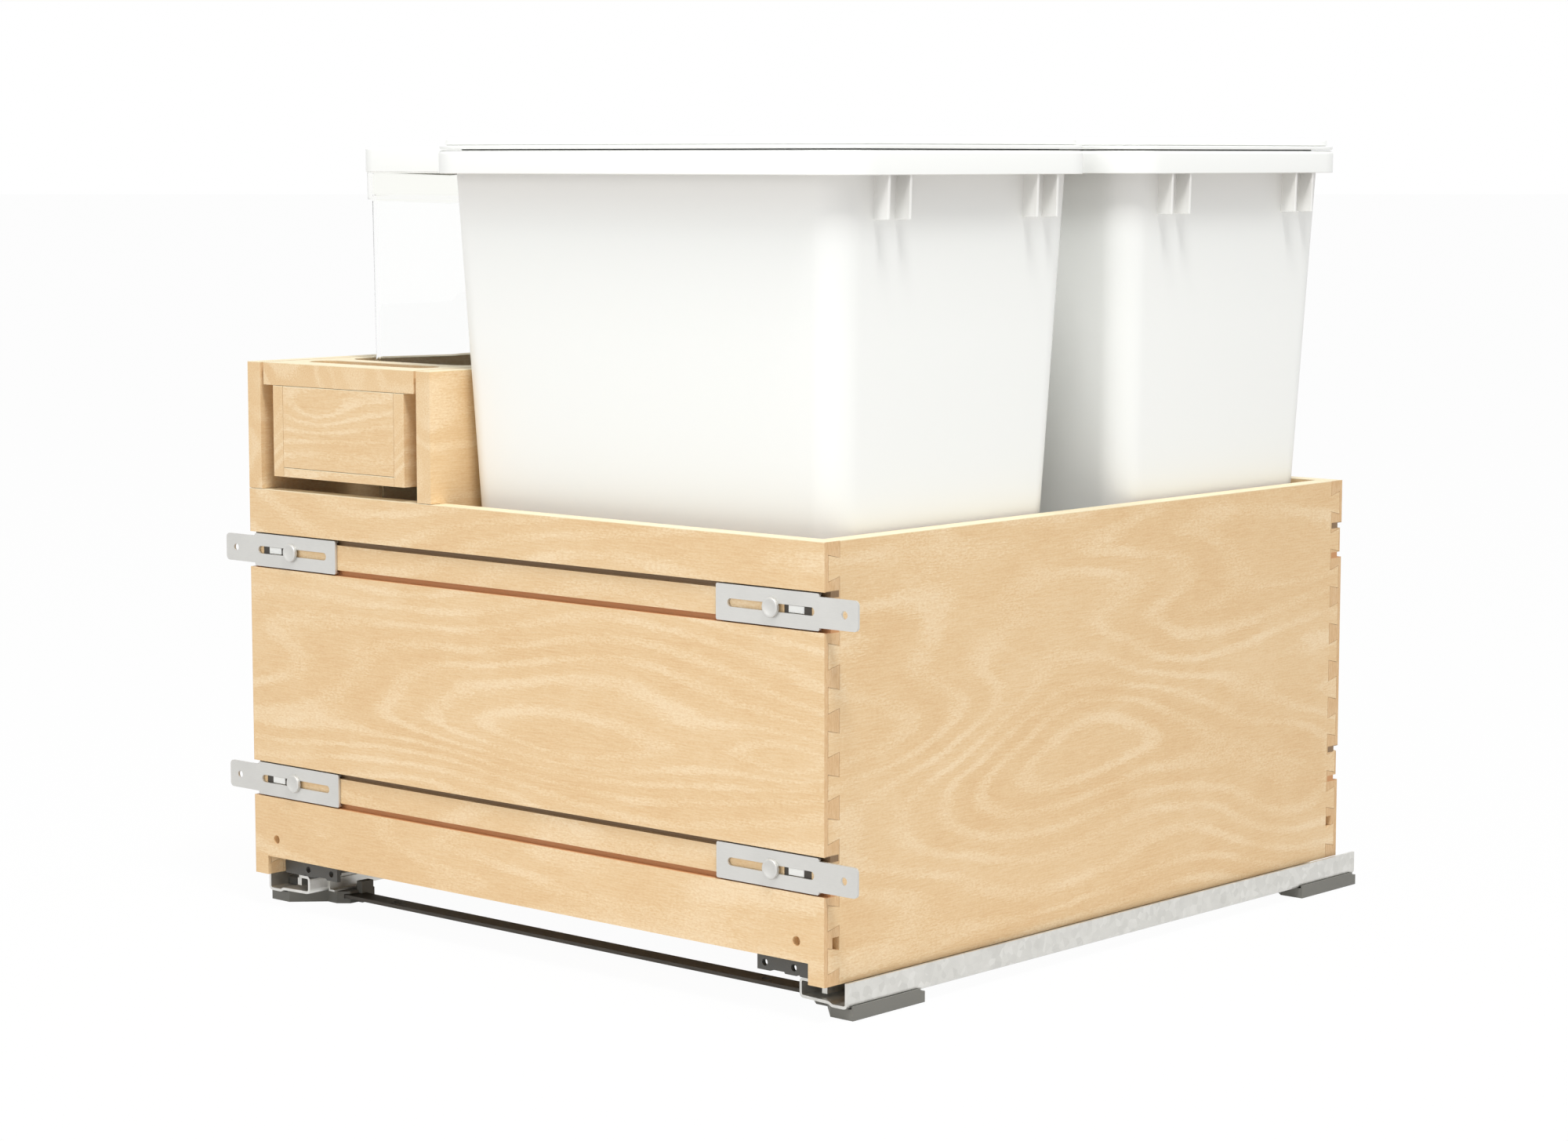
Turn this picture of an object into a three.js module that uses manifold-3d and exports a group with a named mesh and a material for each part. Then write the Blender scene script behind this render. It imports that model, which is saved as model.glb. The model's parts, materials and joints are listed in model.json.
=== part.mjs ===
// A pull-out waste unit for a kitchen base cabinet: a dovetailed drawer box on a pair of
// undermount slides, with two lidded bins, a tall clear canister and a storage box beside them.
// Millimetres, +X to the right, -Y to the front, +Z up. The unit stands on its plastic feet.

import * as THREE from 'three';
import { mergeVertices } from 'three/addons/utils/BufferGeometryUtils.js';
import Module from 'manifold-3d';

const wasm = await Module();
wasm.setup();

// ---------------------------------------------------------------- driving dimensions

// Drawer box
const BOX_WIDTH = 508;
const BOX_DEPTH = 533.4;
const LOW_HEIGHT = 259;          // front, back and right boards
const TALL_RISE = 84;            // left board and divider stand this much higher
const BOARD = 12.7;
const FIT = 0.3;                 // gap between pieces that seat on each other
const BAY_WIDTH = 151.8;         // clear width of the storage bay on the left
const PANEL_RAISE = 12.6;        // front and back boards are cut up to here between their legs
const DADO = 5;                  // depth of the grooves that hold the divider

// Bottom board, held in a groove all round
const BOTTOM_THICK = 7.3;
const BOTTOM_GROOVE_Z = 20.6;
const BOTTOM_GROOVE_DEPTH = 5.8;

// Dovetails of the side boards
const TAIL_PITCH = 25.4;
const TAIL_WIDTH = 12.7;         // halfway along the tail
const TAIL_FLARE = 2.4;          // how much wider the tip is than the root
const LAP = 3;                   // what is left of the front board before the tails
const FIRST_TAIL_Z = 15.1;

// Front and back grooves for the door brackets
const TRACK_HEIGHT = 23.5;
const TRACK_FLOOR = 1.8;
const CHANNEL_DEPTH = 5;
const CHANNEL_WIDTH = 3.6;
const TRACK_LOW_Z = 64.7;        // centre height of the lower one
const TRACK_HIGH_DOWN = 40.6;    // upper centre below the top of the board

// Door brackets
const BRACKET_LENGTH = 110;
const BRACKET_OVERHANG = 24.9;   // how far the tab stands out past the side of the box
const BRACKET_SHEET = 1.5;
const BRACKET_CLEAR = 0.9;       // above and below it in its track
const BRACKET_LIP = 3;
const TAB_HEIGHT = 18;
const TAB_HOLE = 4.8;
const TAB_HOLE_IN = 10.2;        // from the end of the tab
const BRACKET_SLOT_HEIGHT = 5;
const BRACKET_SLOT_START = 33;   // from the end of the tab
const BRACKET_SLOT_END = 100.8;
const CAM_IN = 66;               // cam axis from the end of the tab
const CAM_HEAD = 12;
const CAM_HEAD_THICK = 2.2;
const CAM_SHANK = 4.2;
const CAM_BORE_DEPTH = 9;
const ADJUSTER_LENGTH = 12;
const ADJUSTER_PROUD = 0.4;      // of the bracket's face
const POCKET_FROM_CAM = 8.3;     // the adjuster's pocket in the board
const POCKET_LENGTH = 21.4;
const POCKET_HEIGHT = 6;
const POCKET_DEPTH = 7;

// Divided bay on the right: two bins
const BIN_SIDE_CLEAR = 0.1;      // between the bin's ends and the top of the divider
const BIN_APART = 52.6;          // between the two bodies, at the underside of their rims
const BIN_HEIGHT = 452.6;        // floor to top of rim
const BIN_DRAFT = 0.0458;
const BIN_CORNER = 20;
const BIN_WALL = 2.2;
const BIN_PITCH_OVER = 22.4;     // pitch over half the depth inside the box
const BIN_CENTRE_BACK = 2.6;     // the pair stands this far behind the middle of the box
const RIM_SKIRT = 14.5;
const RIM_OUT = 11.3;
const RIM_WALL = 1.8;
const FIN_HEIGHT = 25.6;         // below the skirt
const FIN_THICK = 2;
const FIN_PAIR = 19.2;
const FIN_SPREAD_IN = 42.6;      // middle of a pair from the bin's long face
const LID_EDGE = 2.2;
const LID_CROWN = 4.6;           // height of the raised middle
const LID_CROWN_IN = 4;          // its foot from the lid's edge
const LID_FIELD_IN = 16;         // the sunk field from the lid's edge
const LID_FIELD_DEPTH = 1.6;
const LID_LIP = 6;
const LID_LIP_GAP = 1;
const LID_SEAM = 0.7;

// Canister in the bay
const CAN_WIDTH = 101;
const CAN_LENGTH = 240;
const CAN_FRONT = 69;            // front wall from the front of the box
const CAN_HEIGHT = 452;
const CAN_DRAFT = 0.008;
const CAN_CORNER = 15;
const CAN_WALL = 2.6;
const CAN_COLLAR = 18;           // height of the thick band under the lid
const CAN_COLLAR_OUT = 3.1;
const CAN_NECK_OUT = 1;          // inside the lid's skirt
const CAN_LID_SKIRT = 16;
const CAN_LID_OUT = 3.7;
const CAN_LID_WALL = 1.8;
const CAN_LID_TOP = 2.4;

// Deck and storage box that lift out of the bay
const DECK_THICK = 14.7;
const DECK_SIDE_GAP = 2.7;
const DECK_SET_BACK = 0.5;
const DECK_SLOT_LENGTH = 116;
const DECK_SLOT_WIDTH = 22.4;
const DECK_SLOT_FRONT = 21;
const OPENING_CLEAR = 10;        // between the canister and its opening
const OPENING_CORNER = 18;
const CADDY_WIDTH = 127.4;
const CADDY_HEIGHT = 60;
const CADDY_DEPTH = 57;
const CADDY_BOARD = 9.6;
const CADDY_FLOOR = 6;
const CLEAT_HEIGHT = 15;
const CLEAT_WIDTH = 10;
const CLEAT_SET_BACK = 20;

// Slides
const RAIL_OUTSIDE = 4.4;        // outer wall outside the box
const RAIL_WIDTH = 39;
const RAIL_DROP = 15;            // underside below the box
const RAIL_SHEET = 1.8;
const RAIL_BEND = 2.4;
const RAIL_STEP = 1.4;
const RAIL_LOW_WIDTH = 12;
const RAIL_FRONT = 15;
const RAIL_OVER_BOX = 1.6;       // how much longer than the box
const RAIL_RAKE = 2.4;           // the mouth's inner wall is set back by this
const RAIL_LIP = 8.7;
const RAIL_INNER_DROP = 1.4;    // top of the inner wall below the box
const TAB_FRONT = 34;            // the tab bent out at the foot of the inner wall
const TAB_LENGTH = 25;
const TAB_REACH = 5.4;
const TAB_SHEET = 1.2;
const TAB_RISE = 8;
const WEB_IN = 23.3;             // middle of the drawer rail's web from the outer wall
const WEB_SHEET = 1.2;
const HEAD_WIDTH = 4;
const HEAD_HEIGHT = 5;
const HEAD_BOTTOM = -9.9;
const SEAT_WIDTH = 25;
const DRAWER_RAIL_FRONT = 21.8;
const MIDDLE_SHEET = 1.2;
const MIDDLE_FRONT = 60;
const MIDDLE_SHORTER = 85;       // than the cabinet rail
const MIDDLE_GAP = 0.3;
const CARRIAGE_LENGTH = 120;
const CARRIAGE_FRONT = 200;
const STOP_FRONT = 30;
const STOP_LENGTH = 32;
const DAMPER_FRONT = 62;
const DAMPER_LENGTH = 130;
const DAMPER_DIAMETER = 8;
const HOOK_IN = 21.8;            // hook pin from the side of the box
const HOOK_Z = 24.6;
const HOOK_BORE = 6;
const HOOK_BORE_DEPTH = 4.6;
const HOOK_PIN = 5;

// Locking devices under the front of the box
const LOCK_FRONT = 14.5;
const LOCK_START = 13.6;         // from the side of the box
const LOCK_WIDTH = 52;
const LOCK_FLANGE = 6;
const LOCK_FLANGE_Z = 9.5;
const LOCK_SHEET = 3;
const LOCK_BOTTOM = -0.7;
const LOCK_LENGTH = 60;
const LOCK_HOLE = 4.4;
const LOCK_HOLES = [23, 46];   // from the outer end of the device
const LEVER_LENGTH = 44;
const LEVER_WIDTH = 4;
const LEVER_HEIGHT = 7;
const LEVER_PAD = 12;
const LEVER_PIVOT = 8;

// Feet and cross bar
const FOOT_DROP = 22;            // floor below the box
const FOOT_FRONT = 18.5;
const FOOT_LENGTH = 65.5;
const FOOT_LIP = 1.1;
const FOOT_TOE = 16;
const FOOT_REACH = 50.4;         // inner end, from the rail's outer wall
const BAR_WIDTH = 14.3;
const BAR_THICK = 2.3;
const BAR_FRONT = 40.5;
const BAR_BOTTOM = -18.3;
const BAR_INSET = 38;            // end of the bar from the side of the box
const BAR_HOLE = 6;
const BAR_HOLE_IN = 88.3;
const POST_REACH = 54.4;         // the post beside the bar, from the rail's outer wall
const POST_WIDTH = 5.4;
const POST_REAR = 60;
const POST_LENGTH = 10;
const POST_TOP = -7.7;

// ---------------------------------------------------------------- derived places

const HALF = BOX_WIDTH / 2;
const TALL_HEIGHT = LOW_HEIGHT + TALL_RISE;
const LEFT = -1;
const RIGHT = 1;
const SIDES = [['left', LEFT], ['right', RIGHT]];
const DIVIDER_LEFT = -HALF + BOARD + BAY_WIDTH;
const DIVIDER_RIGHT = DIVIDER_LEFT + BOARD;
const BAY_CENTRE = -HALF + BOARD + BAY_WIDTH / 2;
const BIN_BAY_CENTRE = (DIVIDER_RIGHT + HALF - BOARD) / 2;
const FLOOR_Z = BOTTOM_GROOVE_Z + FIT + BOTTOM_THICK;   // top of the bottom board
const GROOVE_HEIGHT = BOTTOM_THICK + 2 * FIT;
const RAIL_LENGTH = BOX_DEPTH + RAIL_OVER_BOX;
const RAIL_REAR = RAIL_FRONT + RAIL_LENGTH;
const MIDDLE_LENGTH = RAIL_LENGTH - MIDDLE_SHORTER;
const TRACKS = [['lower', TRACK_LOW_Z], ['upper', LOW_HEIGHT - TRACK_HIGH_DOWN]];

// The bins' body at the underside of the rim: its long way fits between the divider and the right
// board where the drafted walls pass the divider's top, its short way shares the box's depth.
const BIN_PITCH = BOX_DEPTH / 2 - BOARD + BIN_PITCH_OVER;
const BIN_WIDTH = BIN_PITCH - BIN_APART;
const BIN_LENGTH = HALF - BOARD - DIVIDER_RIGHT - 2 * BIN_SIDE_CLEAR
  + 2 * BIN_DRAFT * (FLOOR_Z + FIT + BIN_HEIGHT - RIM_SKIRT - TALL_HEIGHT);
const FIN_SPREAD = BIN_WIDTH / 2 - FIN_SPREAD_IN;

// X at a distance inward from the box's side, or from a slide's outer wall.
const fromSide = (side, inward) => side * (HALF - inward);
const fromRail = (side, inward) => side * (HALF + RAIL_OUTSIDE - inward);

// ---------------------------------------------------------------- materials

const finish = (color, roughness, metalness = 0) =>
  new THREE.MeshStandardMaterial({ color, roughness, metalness });
const BIRCH = finish(0xe6c79a, 0.55);
const GALVANISED = finish(0xd6d6d2, 0.42, 0.75);
const PLATED = finish(0xdededb, 0.35, 0.8);
const DARK_PLASTIC = finish(0x3b3b39, 0.6);
const FOOT_PLASTIC = finish(0x6f6f6b, 0.7);
const BAR_STEEL = finish(0x4a4640, 0.45, 0.5);
const WHITE_PLASTIC = finish(0xf4f4f1, 0.45);
const CLEAR_PLASTIC = new THREE.MeshStandardMaterial(
  { color: 0xf2f5f0, roughness: 0.08, transparent: true, opacity: 0.35 });

// ---------------------------------------------------------------- solids

// Turns a closed geometry into a solid that can be cut and joined.
function solid(geometry) {
  const bare = geometry.clone();
  for (const name of Object.keys(bare.attributes)) {
    if (name !== 'position') bare.deleteAttribute(name);
  }
  const merged = mergeVertices(bare, 1e-4);
  return new wasm.Manifold(new wasm.Mesh({
    numProp: 3,
    vertProperties: Float32Array.from(merged.attributes.position.array),
    triVerts: Uint32Array.from(merged.index.array),
  }));
}

const join = (first, ...others) => others.reduce((whole, other) => whole.add(other), first);
const cut = (first, ...others) => others.reduce((whole, other) => whole.subtract(other), first);

function toGeometry(body) {
  const mesh = body.getMesh();
  const geometry = new THREE.BufferGeometry();
  geometry.setAttribute('position', new THREE.BufferAttribute(mesh.vertProperties, 3));
  geometry.setIndex(Array.from(mesh.triVerts));
  return geometry.toNonIndexed();
}

function block(x0, x1, y0, y1, z0, z1) {
  const geometry = new THREE.BoxGeometry(Math.abs(x1 - x0), Math.abs(y1 - y0), Math.abs(z1 - z0));
  geometry.translate((x0 + x1) / 2, (y0 + y1) / 2, (z0 + z1) / 2);
  return solid(geometry);
}

// An outline extruded along X, Y or Z. Its two coordinates are (y, z), (x, z) or (x, y).
function prism(axis, shape, from, to, curveSegments = 6) {
  const geometry = new THREE.ExtrudeGeometry(shape, { depth: to - from, bevelEnabled: false, curveSegments });
  geometry.translate(0, 0, from);
  if (axis === 'x') geometry.rotateX(Math.PI / 2).rotateZ(Math.PI / 2);
  if (axis === 'y') geometry.translate(0, 0, -from - to).rotateX(Math.PI / 2);
  return solid(geometry);
}

const outline = (points) => new THREE.Shape(points.map(([a, b]) => new THREE.Vector2(a, b)));

function roundedOutline(a0, a1, b0, b1, radius) {
  const shape = new THREE.Shape();
  shape.moveTo(a0 + radius, b0);
  shape.lineTo(a1 - radius, b0);
  shape.absarc(a1 - radius, b0 + radius, radius, -Math.PI / 2, 0);
  shape.lineTo(a1, b1 - radius);
  shape.absarc(a1 - radius, b1 - radius, radius, 0, Math.PI / 2);
  shape.lineTo(a0 + radius, b1);
  shape.absarc(a0 + radius, b1 - radius, radius, Math.PI / 2, Math.PI);
  shape.lineTo(a0, b0 + radius);
  shape.absarc(a0 + radius, b0 + radius, radius, Math.PI, Math.PI * 1.5);
  return shape;
}

// A slot with full round ends, lying along the first coordinate.
function slotOutline(a0, a1, centre, width) {
  const radius = width / 2;
  const shape = new THREE.Shape();
  shape.absarc(a1 - radius, centre, radius, -Math.PI / 2, Math.PI / 2);
  shape.absarc(a0 + radius, centre, radius, Math.PI / 2, Math.PI * 1.5);
  return shape;
}

// A round pin or bore along Y or Z.
function rod(axis, a, b, from, to, diameter, sides = 20) {
  const geometry = new THREE.CylinderGeometry(diameter / 2, diameter / 2, to - from, sides);
  if (axis === 'y') geometry.translate(a, (from + to) / 2, b);
  if (axis === 'z') geometry.rotateX(Math.PI / 2).translate(a, b, (from + to) / 2);
  if (axis === 'x') geometry.rotateZ(Math.PI / 2).translate((from + to) / 2, a, b);
  return solid(geometry);
}

// The outline of a bent sheet: its middle line, with every bend rounded, given its thickness.
function sheetOutline(middleLine, thickness, bend) {
  const points = middleLine.map(([a, b]) => new THREE.Vector2(a, b));
  const path = new THREE.Path();
  path.moveTo(points[0].x, points[0].y);
  for (let i = 1; i < points.length - 1; i++) {
    const before = points[i - 1].clone().sub(points[i]);
    const after = points[i + 1].clone().sub(points[i]);
    const reach = Math.min(bend, before.length() / 2, after.length() / 2);
    const enter = points[i].clone().add(before.setLength(reach));
    const leave = points[i].clone().add(after.setLength(reach));
    path.lineTo(enter.x, enter.y);
    path.quadraticCurveTo(points[i].x, points[i].y, leave.x, leave.y);
  }
  path.lineTo(points.at(-1).x, points.at(-1).y);
  const line = path.getPoints(4);
  const offset = (distance) => line.map((point, i) => {
    const before = line[Math.max(i - 1, 0)];
    const after = line[Math.min(i + 1, line.length - 1)];
    const along = after.clone().sub(before).normalize();
    return new THREE.Vector2(point.x - along.y * distance, point.y + along.x * distance);
  });
  return new THREE.Shape([...offset(thickness / 2), ...offset(-thickness / 2).reverse()]);
}

// One ring of a moulded tub: a rounded rectangle at height z.
function ring(halfX, halfY, radius, z, cornerSteps = 5) {
  const points = [];
  for (let corner = 0; corner < 4; corner++) {
    const signX = corner === 0 || corner === 3 ? 1 : -1;
    const signY = corner < 2 ? 1 : -1;
    for (let step = 0; step <= cornerSteps; step++) {
      const angle = (corner + step / cornerSteps) * Math.PI / 2;
      points.push([
        signX * (halfX - radius) + radius * Math.cos(angle),
        signY * (halfY - radius) + radius * Math.sin(angle),
        z,
      ]);
    }
  }
  return points;
}

// A closed skin through a list of rings, capped at the first and the last.
function loft(rings) {
  const count = rings[0].length;
  const positions = rings.flat(2);
  const triangles = [];
  for (let r = 0; r + 1 < rings.length; r++) {
    for (let i = 0; i < count; i++) {
      const a = r * count + i;
      const b = r * count + (i + 1) % count;
      triangles.push(a, b, b + count, a, b + count, a + count);
    }
  }
  const last = (rings.length - 1) * count;
  for (let i = 1; i + 1 < count; i++) {
    triangles.push(0, i + 1, i, last, last + i, last + i + 1);
  }
  const geometry = new THREE.BufferGeometry();
  geometry.setAttribute('position', new THREE.Float32BufferAttribute(positions, 3));
  geometry.setIndex(triangles);
  return solid(geometry);
}

// ---------------------------------------------------------------- scene graph

// The drawer box's own frame has x = 0 in the middle, y = 0 at its front face and z = 0 under
// its legs. The group moves it so that the origin is under the middle of the whole unit.
const CAM_FRONT = -CAM_HEAD_THICK + TRACK_FLOOR - BRACKET_SHEET - FIT;
const unit = new THREE.Group();
unit.position.set(0, -(CAM_FRONT + RAIL_REAR) / 2, FOOT_DROP);
const group = new THREE.Group();
group.add(unit);

function place(name, body, material, parent = unit) {
  const mesh = new THREE.Mesh(toGeometry(body), material);
  mesh.name = name;
  parent.add(mesh);
}

// ---------------------------------------------------------------- drawer box

// The section of the front board, drawn for its outer face at y = 0: two bracket tracks outside,
// and the groove of the bottom board inside.
function frontSection() {
  const points = [[0, 0]];
  for (const [, centre] of TRACKS) {
    const low = centre - TRACK_HEIGHT / 2;
    const high = centre + TRACK_HEIGHT / 2;
    points.push([0, low], [CHANNEL_DEPTH, low], [CHANNEL_DEPTH, low + CHANNEL_WIDTH]);
    points.push([TRACK_FLOOR, low + CHANNEL_WIDTH], [TRACK_FLOOR, high - CHANNEL_WIDTH]);
    points.push([CHANNEL_DEPTH, high - CHANNEL_WIDTH], [CHANNEL_DEPTH, high], [0, high]);
  }
  const grooveTop = BOTTOM_GROOVE_Z + GROOVE_HEIGHT;
  const grooveFloor = BOARD - BOTTOM_GROOVE_DEPTH;
  points.push([0, LOW_HEIGHT], [BOARD, LOW_HEIGHT], [BOARD, grooveTop], [grooveFloor, grooveTop]);
  points.push([grooveFloor, BOTTOM_GROOVE_Z], [BOARD, BOTTOM_GROOVE_Z], [BOARD, 0]);
  return points;
}

const tailHeights = () => {
  const count = Math.floor((LOW_HEIGHT - FIRST_TAIL_Z - TAIL_WIDTH / 2) / TAIL_PITCH) + 1;
  return Array.from({ length: count }, (_, i) => FIRST_TAIL_Z + i * TAIL_PITCH);
};

// The (y, z) outline of one tail, or of its socket when grown by the fit.
function tailOutline(z, tip, root, grow) {
  const wide = (TAIL_WIDTH + TAIL_FLARE) / 2 + grow;
  const narrow = (TAIL_WIDTH - TAIL_FLARE) / 2 + grow;
  return outline([[tip, z - wide], [root, z - narrow], [root, z + narrow], [tip, z + wide]]);
}

// The front board and the back board have one section, turned to face out.
function endBoard(facing) {
  const y = (depth) => (facing < 0 ? depth : BOX_DEPTH - depth);
  const section = outline(frontSection().map(([depth, z]) => [y(depth), z]));
  const legs = block(-HALF + BOARD, HALF - BOARD, y(-FIT), y(BOARD + FIT), -FIT, PANEL_RAISE);
  const sockets = SIDES.flatMap(([, side]) => tailHeights().map((z) => prism(
    'x', tailOutline(z, y(LAP - FIT), y(BOARD + FIT), FIT),
    Math.min(fromSide(side, -FIT), fromSide(side, BOARD + FIT)),
    Math.max(fromSide(side, -FIT), fromSide(side, BOARD + FIT)))));
  const dado = block(
    DIVIDER_LEFT - FIT, DIVIDER_RIGHT + FIT, y(BOARD - DADO - FIT), y(BOARD + FIT), 0, LOW_HEIGHT + FIT);
  const bores = SIDES.map(([, side]) => rod('y', fromSide(side, HOOK_IN), HOOK_Z,
    Math.min(y(-1), y(HOOK_BORE_DEPTH)), Math.max(y(-1), y(HOOK_BORE_DEPTH)), HOOK_BORE, 16));
  const cams = facing > 0 ? [] : SIDES.flatMap(([, side]) => TRACKS.map(([, z]) => rod(
    'y', fromSide(side, CAM_IN - BRACKET_OVERHANG), z, 0, CAM_BORE_DEPTH + TRACK_FLOOR + FIT,
    CAM_SHANK + 4 * FIT, 16)));
  const pockets = facing > 0 ? [] : SIDES.flatMap(([, side]) => TRACKS.map(
    ([, z]) => adjusterPocket(side, z)));
  return cut(prism('x', section, -HALF, HALF), legs, dado, ...sockets, ...bores, ...cams, ...pockets);
}

// A side board with its tails, its groove for the bottom and its own height.
function sideBoard(side, height) {
  const outer = fromSide(side, 0);
  const inner = fromSide(side, BOARD);
  const ends = [LAP, BOX_DEPTH - LAP];
  const body = block(outer, inner, BOARD + FIT, BOX_DEPTH - BOARD - FIT, 0, height);
  const from = Math.min(outer, inner);
  const tails = ends.flatMap((tip, i) => tailHeights().map((z) => prism(
    'x', tailOutline(z, tip, i === 0 ? BOARD + 1 : BOX_DEPTH - BOARD - 1, 0), from, from + BOARD)));
  const groove = block(
    fromSide(side, BOARD - BOTTOM_GROOVE_DEPTH), fromSide(side, BOARD + 1), LAP, BOX_DEPTH - LAP,
    BOTTOM_GROOVE_Z, BOTTOM_GROOVE_Z + GROOVE_HEIGHT);
  const board = join(body, ...tails);
  if (height <= LOW_HEIGHT) return cut(board, groove);
  const crown = block(outer, inner, 0, BOX_DEPTH, LOW_HEIGHT + FIT, height);
  return cut(join(board, crown), groove);
}

// The divider: dadoed into the front and back boards, standing over them at its full height.
function divider() {
  const low = block(DIVIDER_LEFT, DIVIDER_RIGHT, BOARD - DADO, BOX_DEPTH - BOARD + DADO,
    FLOOR_Z + FIT, LOW_HEIGHT + 2 * FIT);
  const high = block(DIVIDER_LEFT, DIVIDER_RIGHT, 0, BOX_DEPTH, LOW_HEIGHT + FIT, TALL_HEIGHT);
  return join(low, high);
}

function bottomBoard() {
  const reach = BOTTOM_GROOVE_DEPTH - FIT;
  return block(-HALF + BOARD - reach, HALF - BOARD + reach, BOARD - reach, BOX_DEPTH - BOARD + reach,
    BOTTOM_GROOVE_Z + FIT, FLOOR_Z);
}

function buildBox() {
  place('front_panel', endBoard(-1), BIRCH);
  place('back_panel', endBoard(1), BIRCH);
  place('left_side_panel', sideBoard(LEFT, TALL_HEIGHT), BIRCH);
  place('right_side_panel', sideBoard(RIGHT, LOW_HEIGHT), BIRCH);
  place('bay_divider', divider(), BIRCH);
  place('bottom_panel', bottomBoard(), BIRCH);
}

// ---------------------------------------------------------------- storage bay

const DECK_TOP = TALL_HEIGHT;
const DECK_BOTTOM = DECK_TOP - DECK_THICK;
const DECK_REAR = BOX_DEPTH - BOARD - 2 * FIT;

function deck() {
  const plate = block(BAY_CENTRE - BAY_WIDTH / 2 + DECK_SIDE_GAP, BAY_CENTRE + BAY_WIDTH / 2 - DECK_SIDE_GAP,
    DECK_SET_BACK, DECK_REAR, DECK_BOTTOM, DECK_TOP);
  const slot = prism('z', slotOutline(
    BAY_CENTRE - DECK_SLOT_LENGTH / 2, BAY_CENTRE + DECK_SLOT_LENGTH / 2,
    DECK_SLOT_FRONT + DECK_SLOT_WIDTH / 2, DECK_SLOT_WIDTH), DECK_BOTTOM - 1, DECK_TOP + 1);
  const reach = CAN_WIDTH / 2 + OPENING_CLEAR;
  const opening = prism('z', roundedOutline(BAY_CENTRE - reach, BAY_CENTRE + reach,
    CAN_FRONT - OPENING_CLEAR, CAN_FRONT + CAN_LENGTH + OPENING_CLEAR, OPENING_CORNER),
  DECK_BOTTOM - 1, DECK_TOP + 1);
  return cut(plate, slot, opening);
}

function buildCaddy() {
  const x0 = BAY_CENTRE - CADDY_WIDTH / 2;
  const x1 = BAY_CENTRE + CADDY_WIDTH / 2;
  const y0 = DECK_SET_BACK;
  const y1 = DECK_SET_BACK + CADDY_DEPTH;
  const top = DECK_BOTTOM - FIT;
  const bottom = DECK_BOTTOM - CADDY_HEIGHT;
  const inner0 = x0 + CADDY_BOARD + FIT;
  const inner1 = x1 - CADDY_BOARD - FIT;
  const floorTop = bottom + CADDY_FLOOR;
  place('caddy_left_side', block(x0, x0 + CADDY_BOARD, y0, y1, bottom, top), BIRCH);
  place('caddy_right_side', block(x1 - CADDY_BOARD, x1, y0, y1, bottom, top), BIRCH);
  place('caddy_front', block(inner0, inner1, y0, y0 + CADDY_BOARD, floorTop + FIT, top), BIRCH);
  place('caddy_back', block(inner0, inner1, y1 - CADDY_BOARD, y1, floorTop + FIT, top), BIRCH);
  place('caddy_floor', block(inner0, inner1, y0, y1, bottom, floorTop), BIRCH);
}

function buildBay() {
  place('bay_deck', deck(), BIRCH);
  buildCaddy();
  for (const [name, wall, side] of [['left', -HALF + BOARD, RIGHT], ['right', DIVIDER_LEFT, LEFT]]) {
    place(`deck_cleat_${name}`, block(wall + side * FIT, wall + side * (FIT + CLEAT_WIDTH),
      CLEAT_SET_BACK, DECK_REAR, DECK_BOTTOM - FIT - CLEAT_HEIGHT, DECK_BOTTOM - FIT), BIRCH);
  }
}

// ---------------------------------------------------------------- bins and canister

// A bin: drafted walls, a flanged rim turned down in a skirt, and pairs of fins at the short ends.
function bin() {
  const skirtZ = BIN_HEIGHT - RIM_SKIRT;
  const wall = (z, inset) => {
    const draft = BIN_DRAFT * (z - skirtZ) - inset;
    return ring(BIN_LENGTH / 2 + draft, BIN_WIDTH / 2 + draft, Math.max(BIN_CORNER - inset, 4), z);
  };
  const rim = (z, inset) => ring(BIN_LENGTH / 2 + RIM_OUT - inset, BIN_WIDTH / 2 + RIM_OUT - inset,
    BIN_CORNER + RIM_OUT - inset, z);
  const shell = loft([
    wall(0, 5), wall(2, 1.4), wall(6, 0), wall(BIN_HEIGHT - RIM_WALL, 0),
    rim(BIN_HEIGHT - RIM_WALL, RIM_WALL), rim(skirtZ, RIM_WALL), rim(skirtZ, 0),
    rim(BIN_HEIGHT - 2, 0), rim(BIN_HEIGHT, 1.4),
    wall(BIN_HEIGHT, BIN_WALL), wall(BIN_WALL + 7, BIN_WALL), wall(BIN_WALL, BIN_WALL + 5),
  ]);
  const fins = [-1, 1].flatMap((end) => [-1, 1].flatMap((flank) => [-1, 1].map((mate) => {
    const y = flank * FIN_SPREAD + mate * FIN_PAIR / 2;
    const root = BIN_LENGTH / 2 - BIN_DRAFT * (FIN_HEIGHT + RIM_SKIRT) - BIN_WALL / 2;
    const tip = BIN_LENGTH / 2 + RIM_OUT - 0.3;
    const taper = tip - BIN_DRAFT * FIN_HEIGHT;
    const face = outline([
      [end * root, skirtZ - FIN_HEIGHT], [end * taper, skirtZ - FIN_HEIGHT], [end * tip, skirtZ + 1],
      [end * tip, BIN_HEIGHT - RIM_WALL / 2], [end * root, BIN_HEIGHT - RIM_WALL / 2]]);
    return prism('y', face, y - FIN_THICK / 2, y + FIN_THICK / 2);
  })));
  return join(shell, ...fins);
}

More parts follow.
